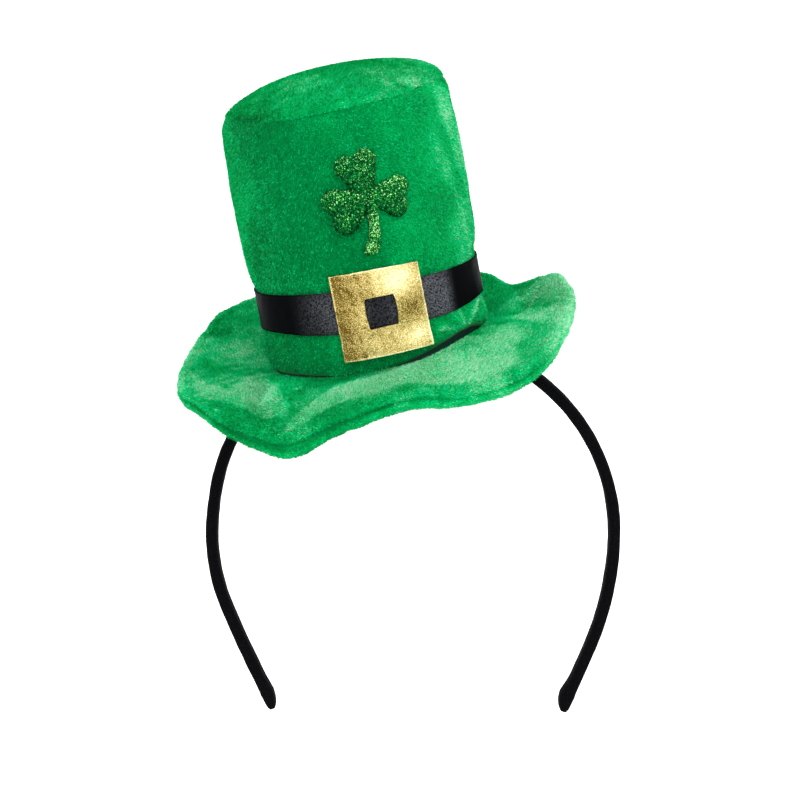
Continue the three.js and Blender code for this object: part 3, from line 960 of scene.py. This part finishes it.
def make_crown_side():
    heights, depths, sunk = crown_section(outside=110, inside=36)
    piece, angle, index = ring_piece("crown_wall", len(heights))
    height, depth = heights[index], depths[index]
    shoulder = crown_radius(79) - 0.4 * ramp(height, 80, SEAM_HEIGHT)
    missing = np.clip(shoulder - crown_radius(height), 0, None) * (height > 76)
    radius = crown_radius(height) - depth - PILE_ROOM + (1 - seam_tuck(angle)) * missing
    cylinder = round_crown(angle, 38.0, height)
    free = ramp(np.abs(height - RIBBON_MIDDLE), 8, 14)
    dents = 0.3 * ripple(cylinder, 36, 1) + 0.12 * ripple(cylinder, 11, 2)
    puckers = 0.25 * ripple(cylinder * np.array([1, 1, 0.15]), 5.5, 3)
    puckers = puckers * ramp(height, 74, 83) * seam_tuck(angle)
    gathers = 0.2 * ripple(cylinder * np.array([1, 1, 0.2]), 6, 4) * (1 - ramp(height, 3, 11))
    outer = (depth < 0.5 * CROWN_WALL) & (sunk[index] == 0)
    radius = radius + dents * free + puckers + gathers + 0.4 * star_wrinkles(angle, height, 1.1) * outer
    radius = radius - 1.4 * (1 - ramp(height, 6, 16)) * (depth == CROWN_WALL)
    radius = radius - SEAM_PUCKER * seam_rise(angle) * ramp(height, 80, SEAM_HEIGHT + 1)
    slant = SEAM_SLANT * np.cos(np.radians(angle)) * (height / SEAM_HEIGHT) ** 3
    slant = slant + SEAM_LIFT * seam_rise(angle) * (height / SEAM_HEIGHT) ** 8
    low = np.clip(1 - height / HEM_FADE, 0, 1)
    level = height + GAP + slant + hem_lift(angle) * low * outer - sunk[index]
    wrap_round(piece, angle, radius, level)
    dress(piece, plush_ground(), knit_backing(), hem_shade())
    mark_faces(piece, depth > 0.5 * CROWN_WALL, 1)
    # The hem's underside takes the dark sheet of painted shade.
    mark_faces(piece, (height == 0) & (depth > 0), 2)
    # The stored nap value carries painted sheen and painted shade over the nap's random tone.
    set_values(piece, "nap", crown_nap_and_light(hat_places(piece)))
    set_values(piece, "side", (depth == 0) & (height > 0.5 * hem_lift(angle)))
    return piece


def make_crown_top():
    piece, ball = shell_piece("crown_dome", 192, 72)
    order_faces(piece)
    angle, share = polar(ball)
    upper = ball[:, 2] >= -1e-6
    rise = np.where(upper, DOME_RISE - PILE_ROOM, DOME_RISE - CROWN_WALL)
    rim = SEAM_RADIUS + DOME_OVERHANG - PILE_ROOM + 1.3 * (1 - seam_tuck(angle))
    rim = rim - 0.8 * SEAM_PUCKER * seam_rise(angle)
    reach = np.where(upper, rim, SEAM_RADIUS - 0.6 * CROWN_WALL)
    radius = share * reach
    fullness = 0.5 + 0.28 * hump(angle, 205, 75) + 0.14 * hump(angle, 345, 50)
    height = SEAM_HEIGHT + GAP / 2 + rise * np.clip(1 - share**2, 0, 1) ** fullness
    flat = round_crown(angle, radius, SEAM_HEIGHT)
    dents = 0.35 * ripple(flat, 24, 6) * (1 - share**4)
    gathered = ramp(share, 0.72, 0.95) * (1 - ramp(share, 0.97, 1.0))
    puckers = 0.25 * ripple(round_crown(angle, 36, 0), 7, 7) * gathered
    wrinkles = spots_of(DOME_WRINKLES, angle, share) * ripple(flat, 6.5, 13)
    height = height + (dents + puckers + wrinkles) * np.where(upper, 1, 0)
    slant = SEAM_SLANT * np.cos(np.radians(angle)) * share
    height = height + slant + SEAM_LIFT * seam_rise(angle) * share**8
    wrap_round(piece, angle, radius, height)
    dress(piece, plush_ground(), knit_backing())
    mark_faces(piece, ~upper, 1)
    # The stored nap value carries painted sheen and painted shade over the nap's random tone.
    set_values(piece, "nap", dome_nap_and_light(hat_places(piece)))
    set_values(piece, "side", upper)
    return piece


def brim_section():
    """Radius and height round the brim's closed section before it is bent, and each corner's side."""
    half = BRIM_EDGE_THICKNESS / 2
    middle = -BRIM_INNER_THICKNESS / 2
    edge_middle = BRIM_REACH - half - PILE_ROOM / 2
    steps = (np.linspace(-84, -18, 9), np.linspace(-12, 26, 17), np.linspace(34, 84, 7))
    turns = np.radians(np.concatenate(steps))
    drawn_in = np.exp(-(((turns - 0.16) / 0.26) ** 2))
    bulge = half - BRIM_GROOVE * drawn_in
    edge = np.stack([edge_middle + bulge * np.cos(turns), middle + bulge * np.sin(turns)], axis=1)
    radii = np.linspace(edge_middle, BEARING_RADIUS, 44)
    out = np.clip((radii - BRIM_FOOT) / (edge_middle - BRIM_FOOT), 0, 1)
    puffed = (middle + half) * out + BRIM_PUFF * np.sin(np.pi * out) ** 0.8
    puffed = puffed - PILE_ROOM * ramp(out, 0, 0.1) / 2
    top = np.stack([radii, puffed], axis=1)
    below = np.stack([radii, 2 * middle - puffed], axis=1)[::-1]
    lip = np.array([[BRIM_HOLE + 0.35, -0.35], [BRIM_HOLE, -HOLE_ROUND]])
    lip_below = np.stack([lip[:, 0], 2 * middle - lip[:, 1]], axis=1)[::-1]
    section = np.concatenate([edge, top, lip, lip_below, below])
    edge_sides = np.where(drawn_in > 0.9, 0, np.sign(turns - 0.16))
    sides = (edge_sides, 0 * radii + 1, [0, 0, 0, 0], 0 * radii - 1)
    grooved = np.concatenate([drawn_in, np.zeros(len(section) - len(turns))])
    return section, np.concatenate(sides), grooved


def make_brim():
    section, sides, grooved = brim_section()
    piece, angle, index = ring_piece("brim_pad", len(section))
    radius, height = section[index, 0], section[index, 1]
    share = np.clip((radius - BRIM_FOOT) / (BRIM_REACH - BRIM_FOOT), 0, 1)
    flat = round_crown(angle, radius, height)
    reach = curve_of(BRIM_EDGE, 2, angle, 360) - BRIM_REACH
    soft = 0.35 * ripple(flat, 22, 8) + 0.14 * ripple(flat, 8, 9)
    pinch = ramp(share, 0.72, 1.0) * ripple(round_crown(angle, 67, 0), 6.5, 10)
    rim = ramp(share, 0.86, 1.0)
    trim = humps(angle, EDGE_TRIM)
    sag = 1.3 * hump(angle, 240, 34) * ramp(share, 0.6, 1.0)
    foot = brim_foot(angle)
    inner = np.where(foot > 0, 37.6, 35.2)
    raised_foot = foot * ramp(radius, inner, inner + 2) * (1 - ramp(share, 0.04, 0.6))
    upper = brim_creases(angle, share) + raised_foot
    creases = np.where(sides[index] > 0, upper, np.where(sides[index] < 0, -sag, 0))
    bent = brim_height(angle, share) + creases + trim * share**2
    height = height + bent + soft * ramp(share, 0.03, 0.4) + 0.3 * pinch * (1 - rim)
    plain = np.maximum(0.95 * hump(angle, 345, 62), 0.6 * hump(angle, 296, 44))
    drawn_out = 0.8 * BRIM_GROOVE * grooved[index] * plain
    radius = radius + reach * share + 0.3 * pinch * rim + drawn_out
    wrap_round(piece, angle, radius, height)
    dress(piece, plush_ground())
    # Painted shade in the groove along the edge's seam, left out where the seam is drawn out plain.
    groove_shade = (0.55 + 0.35 * ripple(flat, 9, 33)) * (1 - plain)
    # The stored nap value carries painted sheen and painted shade over the nap's random tone.
    nap = brim_nap_and_light(hat_places(piece)) - grooved[index] * groove_shade
    set_values(piece, "nap", np.clip(nap, -1, 1))
    set_values(piece, "side", sides[index])
    return piece


def make_ribbon():
    """The satin ribbon: thin, with woven edges and a lap at the back."""
    across = 26
    levels = np.linspace(-0.5, 0.5, across)
    edge = np.array([[0.5, 0.66], [0.5, 0.33]])
    outer = np.stack([levels, np.ones(across)], axis=1)
    inner = np.stack([levels[::-1], np.zeros(across)], axis=1)
    section = np.concatenate([outer, edge, inner, -edge * [1, -1]])
    piece, angle, index = ring_piece("satin_ribbon", len(section))
    level, out = section[index, 0], section[index, 1]
    height = RIBBON_MIDDLE + level * RIBBON_WIDTH
    height = height + RIBBON_RISE * np.cos(np.radians(angle - RIBBON_RISE_TOWARDS))
    height = height + (1.4 * hump(angle, 205, 55) + 1.8 * hump(angle, 350, 45)) * (0.5 - level)
    base = round_crown(angle, 38, height)
    thick = 0.5 + 0.12 * np.exp(-(((np.abs(level) - 0.47) / 0.03) ** 2))
    lap = 0.35 * ramp(away_from(angle, 96), -2, 0) * (1 - ramp(away_from(angle, 96), 9, 10))
    waves = 0.1 * ripple(base * np.array([1, 1, 0.3]), 16, 41) + 0.05 * ripple(base, 5, 42)
    radius = RIBBON_BED + out * thick + lap + waves
    wrap_round(piece, angle, radius, height)
    dress(piece, satin())
    # Painted highlight across the ribbon's front, and faintly on its left side.
    front = ramp(angle, 226, 253) * (1 - ramp(angle, 311, 320)) * (1 - 0.5 * (2 * level) ** 4)
    front = front * (0.75 + 0.35 * hump(angle, 308, 30) - 0.45 * hump(angle, 276, 14))
    side = 0.1 * hump(angle, 196, 14)
    set_values(piece, "painted_gloss", np.clip(front * (1 + 0.15 * ripple(base, 12, 43)) + side, 0, 1))
    return piece


def wrapped(flat, angle, level, base):
    """Lays places drawn across, up and outwards on the crown's front, over a base of some radius."""
    turn = angle + np.degrees(flat[:, 0] / base)
    return to_row(round_crown(turn, base + flat[:, 2], level + flat[:, 1]))


def foil_shine(hat, bed):
    """How bright the foil looks, as painted light: lit from the right, with painted glares, a painted bright
    rim and painted shade along slanting creases.
    """
    angle, _ = polar(hat)
    across = np.radians(away_from(angle, BUCKLE["angle"])) * bed
    level = hat[:, 2] - BUCKLE["level"]
    lit = 0.85 * ramp(across, -15, -3) - 0.13 + 0.12 * ripple(hat, 14, 55)
    edge = np.maximum(np.abs(across) - BUCKLE["width"] / 2, np.abs(level) - BUCKLE["height"] / 2)
    rim = 1.5 * np.exp(-((edge / 0.45) ** 2))
    slope = math.radians(-50)
    along = across * math.cos(slope) + level * math.sin(slope)
    beside = level * math.cos(slope) - across * math.sin(slope)
    creases = ramp(ripple(np.stack([0.25 * along, beside, 0 * along], axis=1), 0.9, 56), 0.2, 1.4)
    creases = 0.75 * creases * (1 - 0.75 * ramp(across, -9, 2))
    return lit + spots_of(FOIL_GLARES, across, level) + rim - creases


def make_buckle():
    bpy.ops.mesh.primitive_grid_add(x_subdivisions=96, y_subdivisions=94, size=1)
    piece = fresh("foil_buckle")
    size = np.array([BUCKLE["width"], BUCKLE["height"], 0])
    half_hole = np.array([BUCKLE_HOLE["width"] / 2, BUCKLE_HOLE["height"] / 2])
    sheet = places_of(piece.data) * size
    delete_corners(piece, np.all(np.abs(sheet[:, :2]) < half_hole, axis=1))
    sheet = places_of(piece.data) * size
    across, up = sheet[:, 0], sheet[:, 1]
    turn = math.radians(BUCKLE["turn"])
    crinkle = 0.03 * ripple(sheet, 1.6, 51) + 0.06 * ripple(sheet, 4, 52) + 0.16 * ripple(sheet, 15, 53)
    frayed = 0.05 * ripple(sheet, 4, 54)
    beside = np.exp(-(((np.abs(across) - half_hole[0]) / 1.5) ** 2))
    bowed = 0.45 * np.sign(across) * beside * np.clip(1 - (up / half_hole[1]) ** 2, 0, 1)
    x = across * math.cos(turn) - up * math.sin(turn) + frayed + bowed
    y = across * math.sin(turn) + up * math.cos(turn) + frayed
    y = y - 0.004 * np.clip(across, 0, None) * np.clip(up, 0, None)
    out = 0.75 + crinkle + 0.5 * ramp(-up, 6, 15)
    bed = RIBBON_BED + RIBBON_THICKNESS + GAP
    move_to(piece, wrapped(np.stack([x, y, out], axis=1), BUCKLE["angle"], BUCKLE["level"], bed))
    apply_modifier(piece, "SOLIDIFY", thickness=FOIL_THICKNESS * MM, offset=-1.0)
    apply_modifier(piece, "BEVEL", width=0.12 * MM, segments=2, limit_method="ANGLE")
    dress(piece, gold_foil())
    # The foil's painted light, stored for its material.
    set_values(piece, "painted_shine", foil_shine(hat_places(piece), bed))
    return piece


def leaf_holds(row, x, y):
    """Which flat places lie on a leaf: a wedge from its root that ends in two round lobes."""
    angle, length, width = row
    turn = math.radians(angle)
    along = x * math.cos(turn) + y * math.sin(turn) + LEAF_ROOT
    across = np.abs(y * math.cos(turn) - x * math.sin(turn))
    side = width / 2
    lobe = side * LOBE_SHARE
    neck = length + LEAF_ROOT - lobe
    in_lobe = np.hypot(along - neck, across - (side - lobe)) < lobe
    bulge = side * np.clip(along / neck, 0, None) ** LEAF_FULLNESS
    return in_lobe | ((along > 0) & (along < neck) & (across < bulge))


def make_leaf(number, row):
    """One padded leaf, drawn flat."""
    piece, ball = shell_piece(f"leaf_{number}", 96, 32)
    angle, length, _ = row
    centre = 0.6 * length * np.array([math.cos(math.radians(angle)), math.sin(math.radians(angle))])
    turn = np.arctan2(ball[:, 1], ball[:, 0])
    rays, steps = np.linspace(-math.pi, math.pi, 121)[:-1], np.arange(0.05, 14, 0.05)
    x = centre[0] + np.outer(np.cos(rays), steps)
    y = centre[1] + np.outer(np.sin(rays), steps)
    inside = np.logical_and.accumulate(leaf_holds(row, x, y), axis=1)
    reaches = inside.sum(axis=1) * 0.05
    softened = sum(np.roll(reaches, shift) for shift in (-1, 0, 1)) / 3
    reach = np.interp(turn, rays, softened, period=TAU) + 0.4
    share = np.hypot(ball[:, 0], ball[:, 1])
    dome = SHAMROCK["thickness"] * np.clip(1 - share**3.5, 0, 1) ** 0.5
    height = np.where(ball[:, 2] >= 0, dome, -0.5)
    out = share * reach
    flat = [centre[0] + out * np.cos(turn), centre[1] + out * np.sin(turn), height]
    move_to(piece, np.stack(flat, axis=1) * MM)
    return piece


def make_stem():
    piece, ball = shell_piece("stem", 32, 64)
    down = STEM[-1][0] * ((1 - ball[:, 2]) / 2)
    full = np.minimum(np.hypot(ball[:, 0], ball[:, 1]) * 2.2, 1)
    turn = np.arctan2(ball[:, 1], ball[:, 0])
    width = curve_of(STEM, 2, down) * full
    x = curve_of(STEM, 1, down) + width / 2 * np.sign(np.cos(turn)) * np.abs(np.cos(turn)) ** 0.6
    height = 0.9 * SHAMROCK["thickness"] * np.clip(np.sin(turn), 0, 1) ** 0.6 * full
    height = np.where(np.sin(turn) < -0.01, -0.5, height)
    move_to(piece, np.stack([x, -down, height], axis=1) * MM)
    return piece


def make_clover():
    """Leaves and stem melted into one padded shape and laid on the crown."""
    parts = [make_leaf(number, row) for number, row in enumerate(LEAVES, 1)] + [make_stem()]
    bpy.ops.object.select_all(action="DESELECT")
    for part in parts:
        part.select_set(True)
    bpy.context.view_layer.objects.active = parts[0]
    bpy.ops.object.join()
    piece = fresh("clover_pad")
    outward(piece)
    piece.data.remesh_voxel_size = CLOVER_CELL * MM
    bpy.ops.object.voxel_remesh()
    apply_modifier(piece, "SMOOTH", factor=0.5, iterations=3)
    flat = places_of(piece.data) / MM
    flat[:, 2] += 0.08 * ripple(flat, 3.2, 61) * ramp(flat[:, 2], 0.3, 1.5)
    base = crown_radius(SHAMROCK["height"] + flat[:, 1]) + 2 * GAP
    move_to(piece, wrapped(flat, SHAMROCK["angle"], SHAMROCK["height"], base))
    dress(piece, foam_ground())
    set_values(piece, "side", flat[:, 2] > 0)
    return piece


def make_glitter(base, count):
    """Small six-sided flakes lying every way on the clover."""
    roots, normals, _, rng = scattered(base, count, 1, 62, "side")
    tilt = unit(normals + 0.55 * rng.normal(size=normals.shape))
    first = unit(np.cross(tilt, rng.normal(size=normals.shape)))
    second = np.cross(tilt, first)
    size = (rng.uniform(*FLAKE_SIZES, count) * MM)[:, None]
    middle = roots + normals * (rng.uniform(*FLAKE_LIFTS, count) * MM)[:, None]
    turns = np.arange(6) * TAU / 6
    corners = [middle + size * (math.cos(t) * first + math.sin(t) * second) for t in turns]
    angle, _ = polar(to_hat(roots))
    low = to_hat(roots)[:, 2] - SHAMROCK["height"]
    on_stem = (low < -5.5) & (np.abs(away_from(angle, SHAMROCK["angle"])) < 5)
    # Flakes that face up take brighter tones, as painted light from above; flakes on the stem take lighter
    # ones.
    draw = rng.random(count) + 0.27 * on_stem + 0.22 * np.clip(normals[:, 2], -0.5, 0.8)
    tones = np.digitize(draw, [0.47, 0.75, 0.88, 0.965])
    return loose_faces("clover_glitter", np.stack(corners, axis=1), tones, flake_materials())


def leg_line(leg, sign, count):
    """Points of one leg from the end of the arch's arc down to its tip."""
    start, end = math.radians(leg["arc_end"]), math.radians(leg["slope"])
    offset = leg["radius"] - ARCH_RADIUS
    centre = np.array([-sign * offset * math.cos(start), ARCH_CENTRE + offset * math.sin(start)])
    turns = np.linspace(start, end, count)
    bend = centre + leg["radius"] * np.stack([sign * np.cos(turns), -np.sin(turns)], axis=1)
    way = np.array([-sign * math.sin(end), -math.cos(end)])
    straight = bend[-1] + np.outer(np.linspace(0, leg["straight"], count)[1:], way)
    return np.concatenate([bend, straight])


def arch_line(count):
    """Evenly spaced points of the headband's centreline, with distances, from left to right tip."""
    left, right = leg_line(LEFT_LEG, -1, 60)[::-1], leg_line(RIGHT_LEG, 1, 60)
    start, end = (math.radians(leg["arc_end"]) for leg in (LEFT_LEG, RIGHT_LEG))
    turns = np.linspace(math.pi + start, -end, 240)
    arch = np.stack([ARCH_RADIUS * np.cos(turns), ARCH_CENTRE + ARCH_RADIUS * np.sin(turns)], axis=1)
    line = np.concatenate([left[:-1], arch, right[1:]])
    lengths = np.concatenate([[0], np.cumsum(np.linalg.norm(np.diff(line, axis=0), axis=1))])
    at = np.linspace(0, lengths[-1], count)
    points = np.stack([np.interp(at, lengths, line[:, k]) for k in range(2)], axis=1)
    ways = unit(np.gradient(points, axis=0))
    return points, ways, at, lengths[-1]


def make_headband():
    piece, ball = shell_piece("band_cover", segments=28, rings=420)
    points, ways, at, length = arch_line(4001)
    share = np.arccos(np.clip(ball[:, 2], -1, 1)) / math.pi
    distance = share * length
    x, z = (np.interp(distance, at, points[:, k]) for k in range(2))
    way = unit(np.stack([np.interp(distance, at, ways[:, k]) for k in range(2)], axis=1))
    swing = np.degrees(np.arctan2(z - ARCH_CENTRE, -x))
    bow = BAND_BOW * hump(swing, 36, 30)
    x, z = x - bow * np.cos(np.radians(swing)), z + bow * np.sin(np.radians(swing))
    on_left = share < 0.5
    from_tip = np.where(on_left, distance, length - distance)
    flare = np.where(on_left, LEFT_LEG["flare"], RIGHT_LEG["flare"])
    half = BAND_THICKNESS / 2
    section = [curve_of(TIP_SECTION, column, from_tip) for column in range(1, 5)]
    turn = np.arctan2(ball[:, 1], ball[:, 0])
    closed = np.hypot(ball[:, 0], ball[:, 1]) > 1e-4

    def squared(value):
        return np.sign(value) * np.abs(value) ** BAND_SQUARENESS

    out = squared(np.cos(turn)) * closed
    reach = np.where(out > 0, out * half * section[1], out * (half * section[0] + flare * section[2]))
    depth = squared(np.sin(turn)) * closed * BAND_DEPTH / 2 * section[3]
    lap = 0.16 * (out < -0.3) * ramp(-depth, -0.2, 0.2)
    wavy = 0.05 * ripple(np.stack([x, depth, z], axis=1), 7, 71)
    folds = 0.12 * np.exp(-(((from_tip - 6.5) / 0.6) ** 2)) + wavy
    reach = reach - lap + folds * np.sign(out)
    place = np.stack([x - way[:, 1] * reach, -depth * (1 + 0.02 * folds), z + way[:, 0] * reach], axis=1)
    move_to(piece, place * MM)
    outward(piece)
    dress(piece, band_cloth())
    return piece


# The stage


def make_floor():
    bpy.ops.mesh.primitive_plane_add(size=600, location=(0, 0, -0.7))
    floor = fresh("floor")
    material, tree, shader = node_material("pale floor")
    tone = blended(tree, noise(tree, 0.4, 1), (0.93, 0.93, 0.93), (0.95, 0.95, 0.95))
    shader_values(tree, shader, Base_Color=tone, Roughness=0.9, Specular_IOR_Level=0.0)
    floor.data.materials.append(material)


def make_sky(scene):
    """Soft white light from all round, strongest from above and weakest from the left."""
    world = bpy.data.worlds.new("studio")
    scene.world = world
    world.use_nodes = True
    tree = world.node_tree
    coordinates = tree.nodes.new("ShaderNodeTexCoord")
    split = add_node(tree, "SeparateXYZ", {"Vector": coordinates.outputs["Generated"]})
    high = ranged(tree, split.outputs["Z"], -0.1, 0.9, 0.76, 2.6)
    side = ranged(tree, split.outputs["X"], -0.9, 0.4, 0.8, 1.03)
    shader_values(tree, tree.nodes["Background"], Color=(1, 1, 1, 1), Strength=product(tree, high, side))


def make_light(name, place, size, power):
    light = bpy.data.lights.new(name, "AREA")
    light.size = size
    light.energy = power
    lamp = bpy.data.objects.new(name, light)
    lamp.location = place
    aim = Vector((-0.01, 0, 0.02)) - Vector(place)
    lamp.rotation_euler = aim.to_track_quat("-Z", "Y").to_euler()
    bpy.context.collection.objects.link(lamp)


def make_camera(scene):
    """Camera a little above the hat, rolled so that the headband stands as in the picture."""
    eye, target = Vector((-0.0029, -0.85, 0.1689)), Vector((-0.0029, 0, -0.0191))
    roll = math.radians(2.0)
    camera = bpy.data.cameras.new("camera")
    camera.sensor_width = 36
    camera.lens = 36 * 2590 / 800
    camera.clip_end = 600
    holder = bpy.data.objects.new("camera", camera)
    aim = (target - eye).normalized()
    right = aim.cross(Vector((0, 0, 1))).normalized()
    up = right.cross(aim)
    across = right * math.cos(roll) - up * math.sin(roll)
    upright = up * math.cos(roll) + right * math.sin(roll)
    turn = Matrix((across, upright, -aim)).transposed().to_4x4()
    holder.matrix_world = Matrix.Translation(eye) @ turn
    bpy.context.collection.objects.link(holder)
    scene.camera = holder


# The add-on


def tint(name, description, default):
    return bpy.props.FloatVectorProperty(
        name=name, description=description, subtype="COLOR", default=default, min=0, max=1
    )


def amount(name, description, default, **limits):
    return bpy.props.FloatProperty(name=name, description=description, default=default, **limits)


class TopHatSettings(bpy.types.PropertyGroup):
    """Sizes and colours that a user would change."""

    plush_colour: tint("Plush", "Colour of the plush", (0.0, 0.385, 0.088))
    plush_deep: tint("Deep plush", "Colour between the fibres", (0.0, 0.175, 0.038))
    # The light plush tone is partly painted light: fibres take it more where sheen is painted.
    plush_light: tint("Light plush", "Colour of lifted fibres", (0.006, 0.52, 0.205))
    # The pale nap colour is painted sheen on the fibres and the ground, and also tints the plush's real
    # sheen.
    plush_sheen_colour: tint("Pale nap", "Colour of brushed fibre tips", (0.38, 0.67, 0.46))
    plush_sheen: amount("Sheen", "Strength of the plush's sheen", 0.15, min=0, max=1, subtype="FACTOR")
    pile_length: amount("Pile length", "Length of the fibres", 0.00085, min=0.0002, unit="LENGTH")
    pile_width: amount("Fibre width", "Width of a fibre at its root", 0.00024, min=0.00002, unit="LENGTH")
    pile_lean_degrees: amount("Lean", "How far the fibres lean from upright, in degrees", 48, min=0, max=85)
    pile_scatter: amount("Scatter", "How much the fibres stray from the nap's direction", 0.8, min=0)
    ribbon_colour: tint("Ribbon", "Colour of the satin", (0.0016, 0.0018, 0.0023))
    foil_colour: tint("Foil", "Colour of the buckle's foil", (0.56, 0.435, 0.145))
    glitter_colour: tint("Glitter ground", "Colour under the flakes", (0.002, 0.17, 0.03))
    cover_colour: tint("Headband cloth", "Colour of the headband", (0.0013, 0.0013, 0.0017))


class TOPHAT_OT_crown(bpy.types.Operator):
    """Makes the plush crown: its side, its domed top and their pile"""

    bl_idname = "tophat.crown"
    bl_label = "Crown"

    def execute(self, context):
        wall, dome = make_crown_side(), make_crown_top()
        down, forward = np.array([0.25, 0.0, -1.0]), np.array([0.6, -1.0, 0.0])
        wall_pile = pile("crown_pile", wall, 1, CROWN_FIBRES, lambda hat: swirl(hat, down, 81), 82)
        dome_pile = pile("dome_pile", dome, 1, DOME_FIBRES, lambda hat: swirl(hat, forward, 83), 84)
        finish("crown_side", "plush", wall, wall_pile)
        finish("crown_top", "plush", dome, dome_pile)
        return {"FINISHED"}


class TOPHAT_OT_brim(bpy.types.Operator):
    """Makes the padded brim and the pile on its upper and lower side"""

    bl_idname = "tophat.brim"
    bl_label = "Brim"

    def execute(self, context):
        pad = make_brim()

        def outwards(hat):
            return swirl(hat, unit(hat * np.array([1.0, 1.0, 0.0])), 85)

        upper = pile("brim_pile", pad, 1, BRIM_FIBRES, outwards, 86)
        lower = pile("brim_under_pile", pad, -1, UNDER_FIBRES, outwards, 87)
        finish("brim", "plush", pad, upper, lower)
        return {"FINISHED"}


class TOPHAT_OT_ribbon(bpy.types.Operator):
    """Makes the satin ribbon round the crown's foot"""

    bl_idname = "tophat.ribbon"
    bl_label = "Ribbon"

    def execute(self, context):
        piece = make_ribbon()
        finish("hat_band", "satin", piece)
        return {"FINISHED"}


class TOPHAT_OT_buckle(bpy.types.Operator):
    """Makes the crinkled foil buckle on the ribbon"""

    bl_idname = "tophat.buckle"
    bl_label = "Buckle"

    def execute(self, context):
        piece = make_buckle()
        finish("buckle", "gold_foil", piece)
        return {"FINISHED"}


class TOPHAT_OT_clover(bpy.types.Operator):
    """Makes the padded shamrock and its glitter"""

    bl_idname = "tophat.clover"
    bl_label = "Shamrock"

    def execute(self, context):
        pad = make_clover()
        finish("shamrock", "glitter", pad, make_glitter(pad, FLAKES))
        return {"FINISHED"}


class TOPHAT_OT_headband(bpy.types.Operator):
    """Makes the cloth-covered headband"""

    bl_idname = "tophat.headband"
    bl_label = "Headband"

    def execute(self, context):
        finish("headband", "band_cover", make_headband())
        return {"FINISHED"}


class TOPHAT_OT_stage(bpy.types.Operator):
    """Sets up the pale floor, the soft light and the camera"""

    bl_idname = "tophat.stage"
    bl_label = "Stage"

    def execute(self, context):
        make_floor()
        make_sky(context.scene)
        make_light("key light", (0.55, -1.0, 0.85), 0.9, 4.2)
        make_light("fill light", (-0.55, -0.75, 0.95), 0.9, 3.4)
        make_camera(context.scene)
        context.scene.view_settings.view_transform = "Standard"
        return {"FINISHED"}


class TOPHAT_PT_panel(bpy.types.Panel):
    """Lists the pieces of the hat"""

    bl_idname = "TOPHAT_PT_panel"
    bl_label = "Mini Top Hat"
    bl_space_type = "VIEW_3D"
    bl_region_type = "UI"
    bl_category = "Top Hat"

    def draw(self, context):
        for operator in OPERATORS:
            self.layout.operator(operator.bl_idname)
        for name in TopHatSettings.__annotations__:
            self.layout.prop(context.scene.top_hat, name)


OPERATORS = (
    TOPHAT_OT_crown,
    TOPHAT_OT_brim,
    TOPHAT_OT_ribbon,
    TOPHAT_OT_buckle,
    TOPHAT_OT_clover,
    TOPHAT_OT_headband,
    TOPHAT_OT_stage,
)
CLASSES = (TopHatSettings, *OPERATORS, TOPHAT_PT_panel)


def register():
    for kind in CLASSES:
        bpy.utils.register_class(kind)
    bpy.types.Scene.top_hat = bpy.props.PointerProperty(type=TopHatSettings)


def unregister():
    del bpy.types.Scene.top_hat
    for kind in reversed(CLASSES):
        bpy.utils.unregister_class(kind)


def main():
    register()
    bpy.ops.tophat.crown()
    bpy.ops.tophat.brim()
    bpy.ops.tophat.ribbon()
    bpy.ops.tophat.buckle()
    bpy.ops.tophat.clover()
    bpy.ops.tophat.headband()
    bpy.ops.tophat.stage()


if __name__ == "__main__":
    main()
